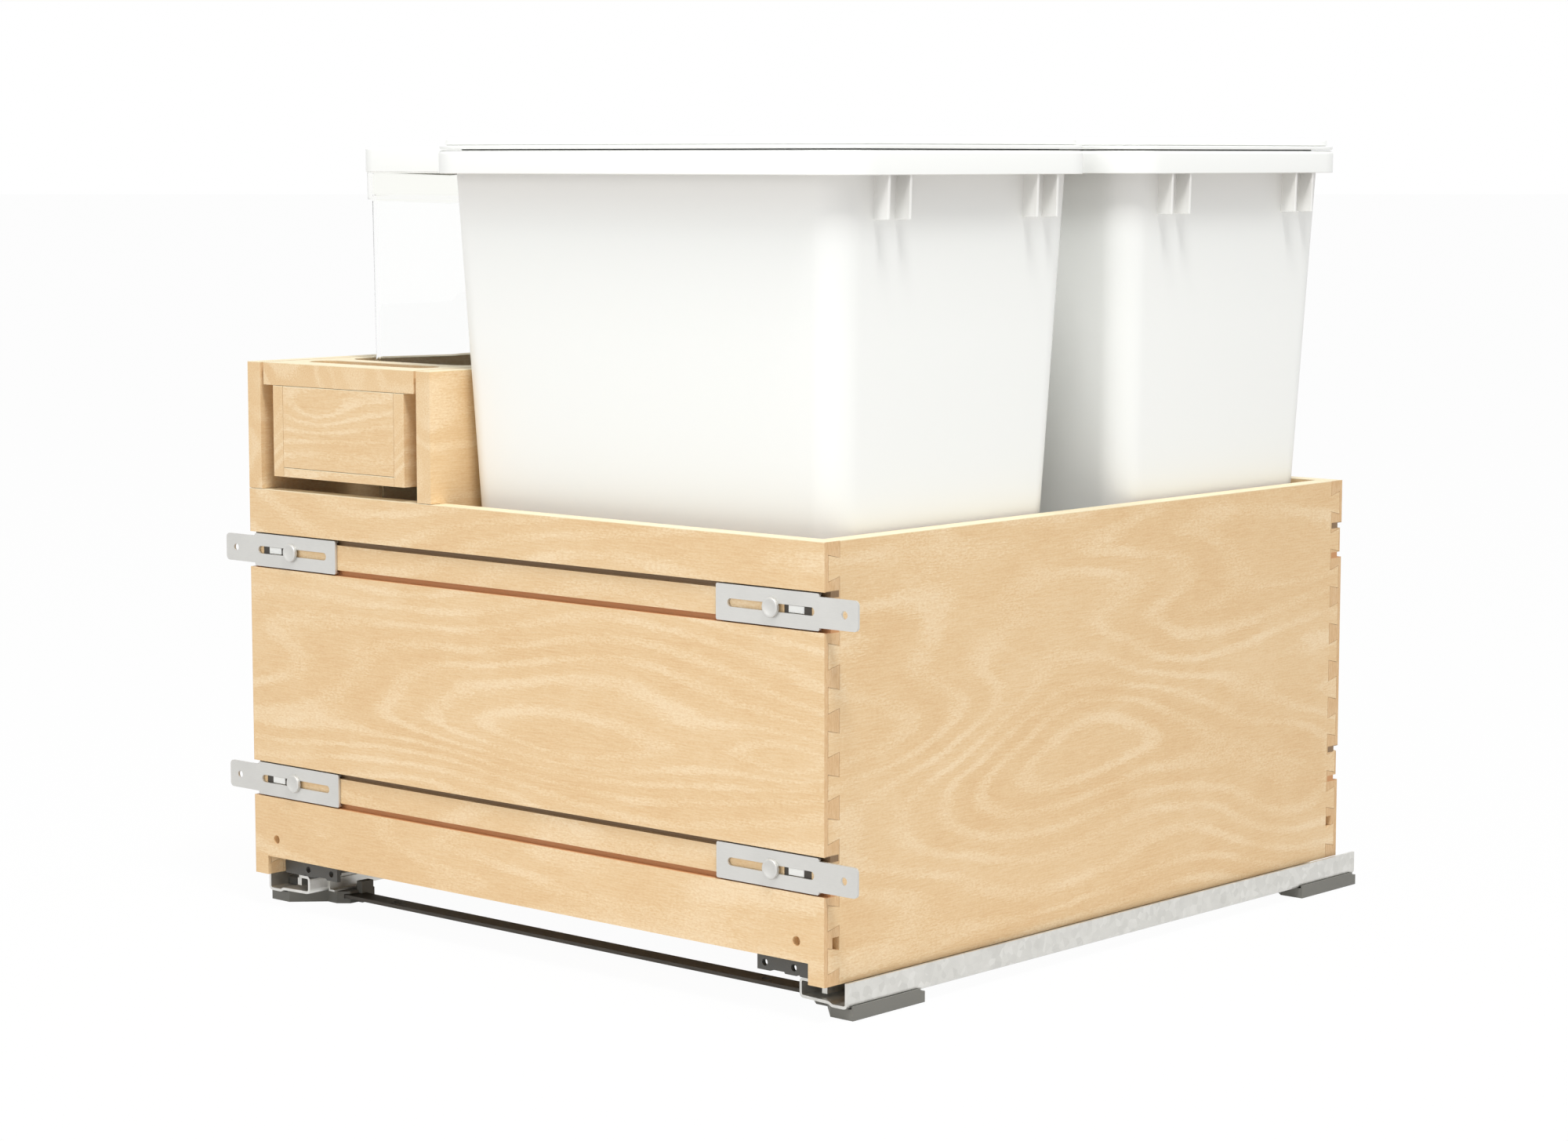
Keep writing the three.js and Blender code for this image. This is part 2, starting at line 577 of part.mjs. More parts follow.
// The bin's lid: a flat edge over the rim, a raised middle and a locating lip inside the rim.
function binLid() {
  const edge = (z, inset) => ring(BIN_LENGTH / 2 + RIM_OUT - inset, BIN_WIDTH / 2 + RIM_OUT - inset,
    BIN_CORNER + RIM_OUT - inset, z);
  const mouth = RIM_OUT + BIN_WALL + LID_LIP_GAP;
  const top = LID_EDGE + LID_CROWN;
  return loft([
    edge(1.4, mouth + 3), edge(-LID_LIP, mouth + 2.6), edge(-LID_LIP, mouth + 0.8), edge(0, mouth),
    edge(0, 0.4), edge(LID_EDGE, 0.4), edge(LID_EDGE, LID_CROWN_IN), edge(top - 1.2, LID_CROWN_IN + 0.5),
    edge(top, LID_CROWN_IN + 2), edge(top, LID_FIELD_IN), edge(top - LID_FIELD_DEPTH, LID_FIELD_IN + 1.6),
  ]);
}

function buildBins() {
  const middle = BOX_DEPTH / 2 + BIN_CENTRE_BACK;
  for (const [name, sign] of [['front', -1], ['rear', 1]]) {
    const binFrame = new THREE.Group();
    binFrame.position.set(BIN_BAY_CENTRE, middle + sign * BIN_PITCH / 2, FLOOR_Z + FIT);
    const lidFrame = new THREE.Group();
    lidFrame.position.set(0, 0, BIN_HEIGHT + LID_SEAM);
    unit.add(binFrame);
    binFrame.add(lidFrame);
    place(`${name}_bin`, bin(), WHITE_PLASTIC, binFrame);
    place(`${name}_bin_lid`, binLid(), WHITE_PLASTIC, lidFrame);
  }
}

// The canister: a tall, nearly straight tub with a thick collar that its lid sits flush with.
function canister() {
  const wall = (z, inset) => {
    const draft = CAN_DRAFT * (z - CAN_HEIGHT) - inset;
    return ring(CAN_WIDTH / 2 + draft, CAN_LENGTH / 2 + draft, CAN_CORNER - inset, z);
  };
  const top = CAN_HEIGHT + CAN_LID_TOP - CAN_LID_SKIRT;
  return loft([
    wall(0, 3), wall(1.2, 0.8), wall(4, 0), wall(top - CAN_COLLAR, 0),
    wall(top - CAN_COLLAR, -CAN_COLLAR_OUT), wall(top, -CAN_COLLAR_OUT), wall(top, -CAN_NECK_OUT),
    wall(CAN_HEIGHT, -CAN_NECK_OUT), wall(CAN_HEIGHT, CAN_WALL), wall(CAN_WALL + 4, CAN_WALL),
    wall(CAN_WALL, CAN_WALL + 3),
  ]);
}

function canisterLid() {
  const outer = (z, inset) => ring(CAN_WIDTH / 2 + CAN_LID_OUT - inset,
    CAN_LENGTH / 2 + CAN_LID_OUT - inset, CAN_CORNER + CAN_LID_OUT - inset, z);
  const skirt = -CAN_LID_SKIRT + CAN_LID_TOP;
  return loft([
    outer(0, CAN_LID_WALL), outer(skirt, CAN_LID_WALL), outer(skirt, 0),
    outer(CAN_LID_TOP - 1.2, 0), outer(CAN_LID_TOP, 1.2),
  ]);
}

function buildCanister() {
  const canFrame = new THREE.Group();
  canFrame.position.set(BAY_CENTRE, CAN_FRONT + CAN_LENGTH / 2, FLOOR_Z + FIT);
  const lidFrame = new THREE.Group();
  lidFrame.position.set(0, 0, CAN_HEIGHT + FIT);
  unit.add(canFrame);
  canFrame.add(lidFrame);
  place('canister', canister(), CLEAR_PLASTIC, canFrame);
  place('canister_lid', canisterLid(), WHITE_PLASTIC, lidFrame);
}

// ---------------------------------------------------------------- door brackets

// A slotted plate that slides in a track: its lips run in the deep channels, its tab stands out.
function bracket(side, z) {
  const x = (fromEnd) => fromSide(side, fromEnd - BRACKET_OVERHANG);
  const between = (a, b) => [Math.min(x(a), x(b)), Math.max(x(a), x(b))];
  const back = TRACK_FLOOR - FIT;
  const front = back - BRACKET_SHEET;
  const half = TRACK_HEIGHT / 2 - BRACKET_CLEAR;
  const root = BRACKET_OVERHANG + RAIL_OUTSIDE;
  const body = prism('y', roundedOutline(...between(root, BRACKET_LENGTH), z - half, z + half, 1.2),
    front, back);
  const tab = prism('y', roundedOutline(...between(0, root + 6), z - TAB_HEIGHT / 2, z + TAB_HEIGHT / 2, 3),
    front, back);
  const lips = [-1, 1].map((edge) => block(...between(root + 2, BRACKET_LENGTH - 2), back - FIT,
    back + BRACKET_LIP, z + edge * half, z + edge * (half - BRACKET_SHEET)));
  const slot = prism('y', slotOutline(...between(BRACKET_SLOT_START, BRACKET_SLOT_END), z, BRACKET_SLOT_HEIGHT),
    front - 1, back + 1);
  const hole = rod('y', x(TAB_HOLE_IN), z, front - 1, back + 1, TAB_HOLE, 16);
  return cut(join(body, tab, ...lips), slot, hole);
}

// The cam screw that clamps a bracket: a flat head with a driver slot, and its shank.
function camScrew(side, z) {
  const x = fromSide(side, CAM_IN - BRACKET_OVERHANG);
  const seat = TRACK_FLOOR - BRACKET_SHEET - 2 * FIT;
  const head = rod('y', x, z, CAM_FRONT, seat, CAM_HEAD, 24);
  const shank = rod('y', x, z, seat - FIT, TRACK_FLOOR + CAM_BORE_DEPTH, CAM_SHANK, 16);
  const driver = [block(x - 3.4, x + 3.4, CAM_FRONT - 1, CAM_FRONT + 1.2, z - 0.6, z + 0.6),
    block(x - 0.6, x + 0.6, CAM_FRONT - 1, CAM_FRONT + 1.2, z - 3.4, z + 3.4)];
  return cut(join(head, shank), ...driver);
}

// The dog in the bracket's slot beside the cam: it keeps the bracket level and stands in a pocket.
function adjuster(side, z) {
  const middle = CAM_IN - BRACKET_OVERHANG - POCKET_FROM_CAM - POCKET_LENGTH / 2 + 1.3;
  const x = fromSide(side, middle);
  const height = BRACKET_SLOT_HEIGHT - 2 * FIT;
  return prism('y', slotOutline(x - ADJUSTER_LENGTH / 2, x + ADJUSTER_LENGTH / 2, z, height),
    TRACK_FLOOR - FIT - BRACKET_SHEET - ADJUSTER_PROUD, POCKET_DEPTH - FIT);
}

function adjusterPocket(side, z) {
  const near = CAM_IN - BRACKET_OVERHANG - POCKET_FROM_CAM;
  return block(fromSide(side, near), fromSide(side, near - POCKET_LENGTH), -FIT, POCKET_DEPTH,
    z - POCKET_HEIGHT / 2, z + POCKET_HEIGHT / 2);
}

function buildBrackets() {
  for (const [sideName, side] of SIDES) {
    for (const [level, z] of TRACKS) {
      place(`door_bracket_${level}_${sideName}`, bracket(side, z), PLATED);
      place(`cam_screw_${level}_${sideName}`, camScrew(side, z), PLATED);
      place(`adjuster_${level}_${sideName}`, adjuster(side, z), WHITE_PLASTIC);
    }
  }
}

// ---------------------------------------------------------------- slides

const FLOOR_LOW = -RAIL_DROP + RAIL_SHEET;            // inside the cabinet rail, low side
const FLOOR_HIGH = FLOOR_LOW + RAIL_STEP;             // and on its raised side
const MIDDLE_BOTTOM = FLOOR_HIGH + MIDDLE_GAP;
const MIDDLE_TOP = HEAD_BOTTOM + HEAD_HEIGHT + 0.4 + MIDDLE_SHEET;
const MIDDLE_OUTER = WEB_IN - HEAD_WIDTH / 2 - 7.8;
const MIDDLE_INNER = WEB_IN + HEAD_WIDTH / 2 + 1.9;
const BEARING_BOTTOM = HEAD_BOTTOM + HEAD_HEIGHT - 1;
const SEAT_TOP = BOTTOM_GROOVE_Z;

// A line of (distance from the outer wall, z) points made into an extruded bent sheet.
function bentRail(side, line, sheet, bend, from, length) {
  const section = sheetOutline(line.map(([inward, z]) => [fromRail(side, inward), z]), sheet, bend);
  return prism('y', section, from, from + length);
}

function cabinetRail(side) {
  const half = RAIL_SHEET / 2;
  const low = -RAIL_DROP + half;
  const inner = RAIL_WIDTH - half;
  const rake = prism('z', outline([
    [fromRail(side, RAIL_LOW_WIDTH + 2), RAIL_FRONT - 1], [fromRail(side, RAIL_WIDTH + 1), RAIL_FRONT - 1],
    [fromRail(side, RAIL_WIDTH + 1), RAIL_FRONT + RAIL_RAKE],
    [fromRail(side, RAIL_LOW_WIDTH + 2), RAIL_FRONT]]), -RAIL_DROP - 1, 1);
  const foot = inner + half;
  const tab = [
    [foot - 0.2, foot + TAB_SHEET, low + RAIL_STEP - half, low + RAIL_STEP - half + TAB_RISE],
    [foot - 0.2, foot + TAB_REACH, low + RAIL_STEP - half, low + RAIL_STEP - half + TAB_SHEET],
  ].map(([from, to, bottom, top]) => block(fromRail(side, from), fromRail(side, to),
    TAB_FRONT, TAB_FRONT + TAB_LENGTH, bottom, top));
  const sheet = join(bentRail(side, [
    [half, 0.5], [half, low], [RAIL_LOW_WIDTH, low], [RAIL_LOW_WIDTH + 2, low + RAIL_STEP],
    [inner, low + RAIL_STEP], [inner, -RAIL_INNER_DROP - half],
    [RAIL_WIDTH - RAIL_LIP, -RAIL_INNER_DROP - half],
  ], RAIL_SHEET, RAIL_BEND, RAIL_FRONT, RAIL_LENGTH), ...tab);
  return cut(sheet, rake);
}

// The middle rail: a channel round the drawer rail's foot, with a flange over the lower carriage.
function middleRail(side) {
  const half = MIDDLE_SHEET / 2;
  const slot = WEB_SHEET / 2 + 0.5;
  const flange = block(fromRail(side, RAIL_SHEET + 1), fromRail(side, MIDDLE_OUTER + MIDDLE_SHEET / 2),
    MIDDLE_FRONT, MIDDLE_FRONT + MIDDLE_LENGTH, MIDDLE_TOP - MIDDLE_SHEET, MIDDLE_TOP);
  return join(flange, bentRail(side, [
    [WEB_IN - slot, MIDDLE_TOP - half], [MIDDLE_OUTER + half, MIDDLE_TOP - half],
    [MIDDLE_OUTER + half, MIDDLE_BOTTOM + half], [MIDDLE_INNER - half, MIDDLE_BOTTOM + half],
    [MIDDLE_INNER - half, MIDDLE_TOP - half], [WEB_IN + slot, MIDDLE_TOP - half],
  ], MIDDLE_SHEET, 0.9, MIDDLE_FRONT, MIDDLE_LENGTH));
}

// The drawer rail: a seat under the bottom board, a web down into the slide, a foot with a flange
// over the upper carriage, and a hook behind the box whose pin enters the bore in the back board.
function drawerRail(side) {
  const rear = BOX_DEPTH - BOARD - FIT - 0.4;
  const x = (inward) => fromRail(side, inward);
  const head = block(x(WEB_IN - HEAD_WIDTH / 2), x(WEB_IN + HEAD_WIDTH / 2), DRAWER_RAIL_FRONT, rear,
    HEAD_BOTTOM, HEAD_BOTTOM + HEAD_HEIGHT);
  const web = block(x(WEB_IN - WEB_SHEET / 2), x(WEB_IN + WEB_SHEET / 2), DRAWER_RAIL_FRONT, rear,
    HEAD_BOTTOM, SEAT_TOP);
  const bearing = block(x(MIDDLE_OUTER + MIDDLE_SHEET + 0.4), x(WEB_IN), MIDDLE_FRONT + 2, rear,
    BEARING_BOTTOM, HEAD_BOTTOM + HEAD_HEIGHT);
  const seatStart = RAIL_OUTSIDE + BOARD + 2;
  const seat = block(x(seatStart), x(seatStart + SEAT_WIDTH), DRAWER_RAIL_FRONT, rear,
    SEAT_TOP - RAIL_SHEET, SEAT_TOP);
  const pinX = fromSide(side, HOOK_IN);
  const hookRear = BOX_DEPTH + FIT + RAIL_SHEET;
  const arm = block(x(WEB_IN - WEB_SHEET / 2), x(WEB_IN + WEB_SHEET / 2), rear - 20, hookRear,
    0, PANEL_RAISE - 2 * FIT);
  const upright = block(x(WEB_IN - WEB_SHEET / 2), pinX - side * HOOK_PIN, hookRear - RAIL_SHEET, hookRear,
    0, HOOK_Z + HOOK_PIN);
  const pin = rod('y', pinX, HOOK_Z, BOX_DEPTH - HOOK_BORE_DEPTH + 2 * FIT, hookRear - 0.5, HOOK_PIN, 16);
  return join(head, web, bearing, seat, arm, upright, pin);
}

// A roller cage in the gap between two rails: its plastic frame with four rollers standing proud.
function carriage(side, from, to, bottom, top) {
  const x = [fromRail(side, from), fromRail(side, to)].sort((a, b) => a - b);
  const frame = block(x[0] + 0.6, x[1] - 0.6, CARRIAGE_FRONT, CARRIAGE_FRONT + CARRIAGE_LENGTH,
    bottom + 0.8, top - 0.8);
  const diameter = top - bottom;
  const rollers = [0.12, 0.36, 0.64, 0.88].map((share) => rod(
    'x', CARRIAGE_FRONT + share * CARRIAGE_LENGTH, (bottom + top) / 2, x[0], x[1], diameter, 14));
  return join(frame, ...rollers);
}

// The damper that closes the drawer softly: a cylinder with a square collar at each end.
function damper(side) {
  const x = fromRail(side, (MIDDLE_INNER + RAIL_WIDTH - RAIL_SHEET) / 2);
  const half = DAMPER_DIAMETER / 2;
  const bottom = FLOOR_HIGH + FIT;
  const rear = DAMPER_FRONT + DAMPER_LENGTH;
  const tube = rod('y', x, bottom + half, DAMPER_FRONT, rear, DAMPER_DIAMETER, 16);
  const collars = [DAMPER_FRONT, rear - 12].map((y) => block(
    x - half, x + half, y, y + 12, bottom, bottom + DAMPER_DIAMETER));
  return join(tube, ...collars);
}

// The stop at the mouth of the cabinet rail, with a sloped nose.
function railStop(side) {
  const x0 = fromRail(side, RAIL_SHEET + 0.4);
  const x1 = fromRail(side, RAIL_LOW_WIDTH - 1.2);
  const bottom = FLOOR_LOW + FIT;
  const top = MIDDLE_TOP - MIDDLE_SHEET - 0.6;
  const rear = STOP_FRONT + STOP_LENGTH;
  const nose = outline([[STOP_FRONT, bottom], [rear, bottom], [rear, top], [STOP_FRONT + 8, top],
    [STOP_FRONT, top - 3]]);
  return prism('x', nose, Math.min(x0, x1), Math.max(x0, x1));
}

function buildSlides() {
  for (const [name, side] of SIDES) {
    place(`cabinet_rail_${name}`, cabinetRail(side), GALVANISED);
    place(`middle_rail_${name}`, middleRail(side), GALVANISED);
    place(`drawer_rail_${name}`, drawerRail(side), GALVANISED);
    place(`lower_carriage_${name}`, carriage(side, RAIL_SHEET + 0.4, RAIL_LOW_WIDTH - 1.2,
      FLOOR_LOW + FIT, MIDDLE_TOP - MIDDLE_SHEET - FIT), DARK_PLASTIC);
    place(`upper_carriage_${name}`, carriage(side, MIDDLE_OUTER + MIDDLE_SHEET + 0.4,
      WEB_IN - HEAD_WIDTH / 2 - 0.4, MIDDLE_BOTTOM + MIDDLE_SHEET + FIT,
      BEARING_BOTTOM - FIT), DARK_PLASTIC);
    place(`damper_${name}`, damper(side), DARK_PLASTIC);
    place(`rail_stop_${name}`, railStop(side), DARK_PLASTIC);
  }
}

// ---------------------------------------------------------------- locking devices

function lockingDevice(side) {
  const x = (inward) => fromSide(side, LOCK_START + inward);
  const top = SEAT_TOP;
  const face = outline([
    [x(0), LOCK_BOTTOM], [x(18), LOCK_BOTTOM], [x(19), LOCK_BOTTOM + 1], [x(20), LOCK_BOTTOM + 1],
    [x(21), LOCK_BOTTOM], [x(30), LOCK_BOTTOM], [x(30.6), LOCK_BOTTOM + 1], [x(41), LOCK_BOTTOM + 1],
    [x(41.6), LOCK_BOTTOM], [x(LOCK_WIDTH), LOCK_BOTTOM], [x(LOCK_WIDTH), LOCK_FLANGE_Z],
    [x(LOCK_WIDTH + LOCK_FLANGE), LOCK_FLANGE_Z], [x(LOCK_WIDTH + LOCK_FLANGE), top], [x(0), top],
  ]);
  const plate = prism('y', face, LOCK_FRONT, LOCK_FRONT + LOCK_SHEET);
  const rear = LOCK_FRONT + LOCK_LENGTH;
  const seatEnd = BOARD + 2 + SEAT_WIDTH + 0.6;
  const roof = block(fromSide(side, seatEnd), x(LOCK_WIDTH + LOCK_FLANGE), LOCK_FRONT, rear,
    top - LOCK_SHEET, top);
  const arm = block(fromSide(side, seatEnd), fromSide(side, seatEnd + LOCK_SHEET), LOCK_FRONT, rear,
    4, top);
  const catchPlate = block(fromSide(side, seatEnd + 1), fromSide(side, seatEnd - 12), LOCK_FRONT + 20,
    rear - 15, top - RAIL_SHEET - FIT - LOCK_SHEET, top - RAIL_SHEET - FIT);
  const holes = LOCK_HOLES.map((inward) => rod('y', x(inward), 4, LOCK_FRONT - 1,
    LOCK_FRONT + LOCK_SHEET + 1, LOCK_HOLE, 12));
  return cut(join(plate, roof, arm, catchPlate), ...holes);
}

// The release lever: a finger pad on a bar that turns about an upright pivot at its rear.
function releaseLever(side) {
  const x = (inward) => fromSide(side, LOCK_START + LOCK_WIDTH - LEVER_PIVOT - 8 + inward);
  const front = LOCK_FRONT + LOCK_SHEET + 2.5;
  const bar = block(x(-LEVER_WIDTH / 2), x(LEVER_WIDTH / 2), front, front + LEVER_LENGTH, 2, 2 + LEVER_HEIGHT);
  const pad = block(x(-LEVER_WIDTH / 2), x(LEVER_PAD - LEVER_WIDTH / 2), front, front + 3.5,
    2, 2 + LEVER_HEIGHT);
  const pivot = rod('z', x(0), front + LEVER_LENGTH - LEVER_PIVOT / 2, 2, SEAT_TOP - LOCK_SHEET - FIT,
    LEVER_PIVOT, 20);
  return join(bar, pad, pivot);
}

function buildLocks() {
  for (const [name, side] of SIDES) {
    place(`locking_device_${name}`, lockingDevice(side), DARK_PLASTIC);
    place(`release_lever_${name}`, releaseLever(side), DARK_PLASTIC);
  }
}

// ---------------------------------------------------------------- feet and cross bar

// A foot that cradles the rail: a chamfered sole, a lip outside the rail and, toward the middle
// of the unit, an ear that carries the cross bar.
function foot(side, front) {
  const x = (inward) => fromRail(side, inward);
  const earFront = front + 18.5;
  const earRear = front + 46;
  const top = -RAIL_DROP - FIT;
  const plan = outline([
    [x(-FIT - FOOT_LIP), front], [x(FOOT_TOE), front], [x(RAIL_WIDTH - 4.5), earFront],
    [x(FOOT_REACH - 7), earFront], [x(FOOT_REACH), earFront + 6], [x(FOOT_REACH), earRear],
    [x(RAIL_WIDTH - 4.5), earRear + 6], [x(FOOT_TOE + 8), front + FOOT_LENGTH],
    [x(-FIT - FOOT_LIP), front + FOOT_LENGTH],
  ]);
  const sole = prism('z', plan, -FOOT_DROP, top);
  const raised = prism('z', plan, top - 1, top + RAIL_STEP);
  const rack = block(x(RAIL_LOW_WIDTH + 2.5), x(FOOT_REACH + 1), front - 1, front + FOOT_LENGTH + 1,
    -FOOT_DROP, 0);
  const lip = block(x(-FIT - FOOT_LIP), x(-FIT), front, front + FOOT_LENGTH - 4, -FOOT_DROP, top + 2);
  return join(sole, raised.intersect(rack), lip);
}

const barSpan = () => [-HALF + BAR_INSET, HALF - BAR_INSET];

function barPocket() {
  const [x0, x1] = barSpan();
  return block(x0 - FIT, x1 + FIT, BAR_FRONT - FIT, BAR_FRONT + BAR_WIDTH + FIT,
    BAR_BOTTOM - FIT, BAR_BOTTOM + BAR_THICK + FIT);
}

function crossBar() {
  const [x0, x1] = barSpan();
  const strip = block(x0, x1, BAR_FRONT, BAR_FRONT + BAR_WIDTH, BAR_BOTTOM, BAR_BOTTOM + BAR_THICK);
  const holes = SIDES.map(([, side]) => rod('z', fromSide(side, BAR_HOLE_IN), BAR_FRONT + BAR_WIDTH / 2,
    BAR_BOTTOM - 1, BAR_BOTTOM + BAR_THICK + 1, BAR_HOLE, 16));
  return cut(strip, ...holes);
}

function buildFeet() {
  const rearFoot = RAIL_REAR - FOOT_LENGTH - FIT;
  for (const [name, side] of SIDES) {
    const post = block(fromRail(side, POST_REACH - POST_WIDTH), fromRail(side, POST_REACH),
      POST_REAR - POST_LENGTH, POST_REAR, -FOOT_DROP, POST_TOP);
    place(`front_foot_${name}`, cut(join(foot(side, FOOT_FRONT), post), barPocket()), FOOT_PLASTIC);
    place(`rear_foot_${name}`, foot(side, rearFoot), FOOT_PLASTIC);
  }
  place('cross_bar', crossBar(), BAR_STEEL);
}

// ---------------------------------------------------------------- the whole unit

buildBox();
buildBay();
buildBins();
buildCanister();
buildBrackets();
buildSlides();
buildLocks();
buildFeet();

export default group;
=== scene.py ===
"""How the pull-out waste unit looks: its finishes, and smooth mouldings over the plain ones.

Everything is in metres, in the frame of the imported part: +X to the right, -Y to the front,
+Z up, with the feet on z = 0.
"""

import itertools
import json
import math

import bpy
import numpy as np
from mathutils import Matrix, Vector


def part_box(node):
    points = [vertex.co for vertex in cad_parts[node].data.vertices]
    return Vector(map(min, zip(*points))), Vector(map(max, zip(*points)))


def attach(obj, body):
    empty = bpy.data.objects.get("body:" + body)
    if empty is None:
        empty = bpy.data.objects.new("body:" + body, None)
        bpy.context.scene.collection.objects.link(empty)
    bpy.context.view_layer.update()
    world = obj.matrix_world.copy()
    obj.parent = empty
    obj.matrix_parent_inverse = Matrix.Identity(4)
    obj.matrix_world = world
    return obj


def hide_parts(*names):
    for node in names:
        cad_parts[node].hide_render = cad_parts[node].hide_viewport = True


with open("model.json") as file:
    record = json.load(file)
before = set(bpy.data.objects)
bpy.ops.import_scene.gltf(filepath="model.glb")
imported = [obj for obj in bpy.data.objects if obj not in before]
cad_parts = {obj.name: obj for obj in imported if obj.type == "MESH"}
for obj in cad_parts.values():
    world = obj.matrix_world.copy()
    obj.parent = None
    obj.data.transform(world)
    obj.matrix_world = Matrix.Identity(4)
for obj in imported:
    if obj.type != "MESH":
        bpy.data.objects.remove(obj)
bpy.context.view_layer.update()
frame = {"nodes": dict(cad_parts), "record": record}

MM = 0.001


# ---------------------------------------------------------------- camera, floor and light


CAMERA_PLACE = (1.58325, -1.79005, 0.49806)
CAMERA_TURN, CAMERA_DIP = math.radians(-41.9055), math.radians(6.596)
SENSOR, LENS = 36.0, 81.79


def aim_camera():
    """The photograph's view: its place, turn and lens were solved from the edges of the box."""
    turn, dip = CAMERA_TURN, CAMERA_DIP
    ahead = Vector((math.sin(turn) * math.cos(dip), math.cos(turn) * math.cos(dip), -math.sin(dip)))
    right = Vector((math.cos(turn), -math.sin(turn), 0))
    up = right.cross(ahead)
    data = bpy.data.cameras.new("camera")
    data.sensor_width, data.lens = SENSOR, LENS
    data.clip_start, data.clip_end = 0.05, 50
    camera = bpy.data.objects.new("camera", data)
    rows = [(right[i], up[i], -ahead[i], CAMERA_PLACE[i]) for i in range(3)]
    camera.matrix_world = Matrix((*rows, (0, 0, 0, 1)))
    bpy.context.scene.collection.objects.link(camera)
    bpy.context.scene.camera = camera


aim_camera()


# ---------------------------------------------------------------- shader arithmetic


class Signal:
    """A shader socket in arithmetic: each operator adds the Math node that works it out."""

    def __init__(self, recipe, socket):
        self.recipe, self.socket = recipe, socket

    def _math(self, operation, *values):
        settings = {"operation": operation}
        return self.recipe.node("ShaderNodeMath", settings, dict(enumerate(values)))

    def __add__(self, other):
        return self._math("ADD", self, other)

    def __sub__(self, other):
        return self._math("SUBTRACT", self, other)

    def __rsub__(self, other):
        return self._math("SUBTRACT", other, self)

    def __mul__(self, other):
        return self._math("MULTIPLY", self, other)

    def __truediv__(self, other):
        return self._math("DIVIDE", self, other)

    def __rtruediv__(self, other):
        return self._math("DIVIDE", other, self)

    def __pow__(self, other):
        return self._math("POWER", self, other)

    __radd__, __rmul__ = __add__, __mul__

    def sine(self):
        return self._math("SINE", self)

    def size(self):
        return self._math("ABSOLUTE", self)


class Recipe:
    """A material under construction, with a Principled shader to fill in."""

    def __init__(self, name):
        self.material = bpy.data.materials.new(name)
        self.material.use_nodes = True
        self.tree = self.material.node_tree
        self.shader = self.tree.nodes["Principled BSDF"]

    def node(self, kind, settings=None, sockets=None, out=0):
        """Adds a node: its settings first, then the value or link of each socket."""
        made = self.tree.nodes.new(kind)
        for name, value in (settings or {}).items():
            if name == "stops":
                ramp = made.color_ramp
                while len(ramp.elements) < len(value):
                    ramp.elements.new(0.5)
                for stop, (place, color) in zip(ramp.elements, value):
                    stop.position, stop.color = place, (*color, 1)
            else:
                setattr(made, name, value)
        for key, value in (sockets or {}).items():
            self.feed(made.inputs[key], value)
        return Signal(self, made.outputs[out])

    def feed(self, socket, value):
        if isinstance(value, Signal):
            self.tree.links.new(value.socket, socket)
        elif socket.type == "RGBA" and len(value) == 3:
            socket.default_value = (*value, 1)
        else:
            socket.default_value = value

    def finish(self, **inputs):
        """Fills the shader's sockets; an underscore in a name stands for a space."""
        for name, value in inputs.items():
            self.feed(self.shader.inputs[name.replace("_", " ")], value)
        return self.material

    def place(self, turn=(0, 0, 0), centre=(0, 0, 0)):
        """Object coordinates about a centre, turned: the same on every view."""
        here = self.node("ShaderNodeTexCoord", out=3)
        moved = self.node("ShaderNodeVectorMath", {"operation": "SUBTRACT"}, {0: here, 1: centre})
        return self.node("ShaderNodeMapping", {"vector_type": "POINT"},
                         {"Vector": moved, "Rotation": turn})

    def axes(self, vector):
        return [self.node("ShaderNodeSeparateXYZ", None, {0: vector}, out=i) for i in range(3)]

    def stretch(self, vector, by):
        return self.node("ShaderNodeVectorMath", {"operation": "MULTIPLY"}, {0: vector, 1: by})

    def noise(self, vector, scale, detail=2.0, rough=0.5, warp=0.0, out=0):
        return self.node("ShaderNodeTexNoise", {"noise_dimensions": "3D"}, {
            "Vector": vector, "Scale": scale, "Detail": detail, "Roughness": rough,
            "Distortion": warp}, out=out)

    def ramp(self, value, *stops):
        return self.node("ShaderNodeValToRGB", {"stops": stops}, {0: value})

    def band(self, value, low, high, start=0.0, end=1.0):
        """A smooth step of the value from low to high."""
        return self.node("ShaderNodeMapRange", {"interpolation_type": "SMOOTHSTEP"},
                         {0: value, 1: low, 2: high, 3: start, 4: end})

    def mix(self, share, first, second, blend="MIX"):
        return self.node("ShaderNodeMix", {"data_type": "RGBA", "blend_type": blend},
                         {0: share, 6: first, 7: second}, out=2)

    def bump(self, height, strength, distance):
        return self.node("ShaderNodeBump", None,
                         {"Strength": strength, "Distance": distance, "Height": height})


def srgb(red, green, blue):
    """A colour as it is seen on a screen, 0 to 255, as the linear values a shader takes."""
    channel = np.array([red, green, blue]) / 255
    linear = np.where(channel <= 0.04045, channel / 12.92, ((channel + 0.055) / 1.055) ** 2.4)
    return tuple(float(c) for c in linear)


# ---------------------------------------------------------------- studio


FILL, SURROUND = 0.5, 1.0       # the world's strength for diffuse rays, and as it is seen
FLOOR_REACH, FLOOR_DROP, FLOOR_TONE = 60.0, 0.0004, (0.88, 0.88, 0.88)
FLOOR_GLOW = 0.965              # how much of the seen floor is plain white; the rest takes shadow
LAMPS = (                       # name, place, target, side of its square, power
    ("key_lamp", (1.2, -0.9, 3.1), (0, 0, 0.3), 0.75, 74),
    ("front_lamp", (-0.8, -2.9, 1.3), (0, 0, 0.2), 1.6, 15),
)


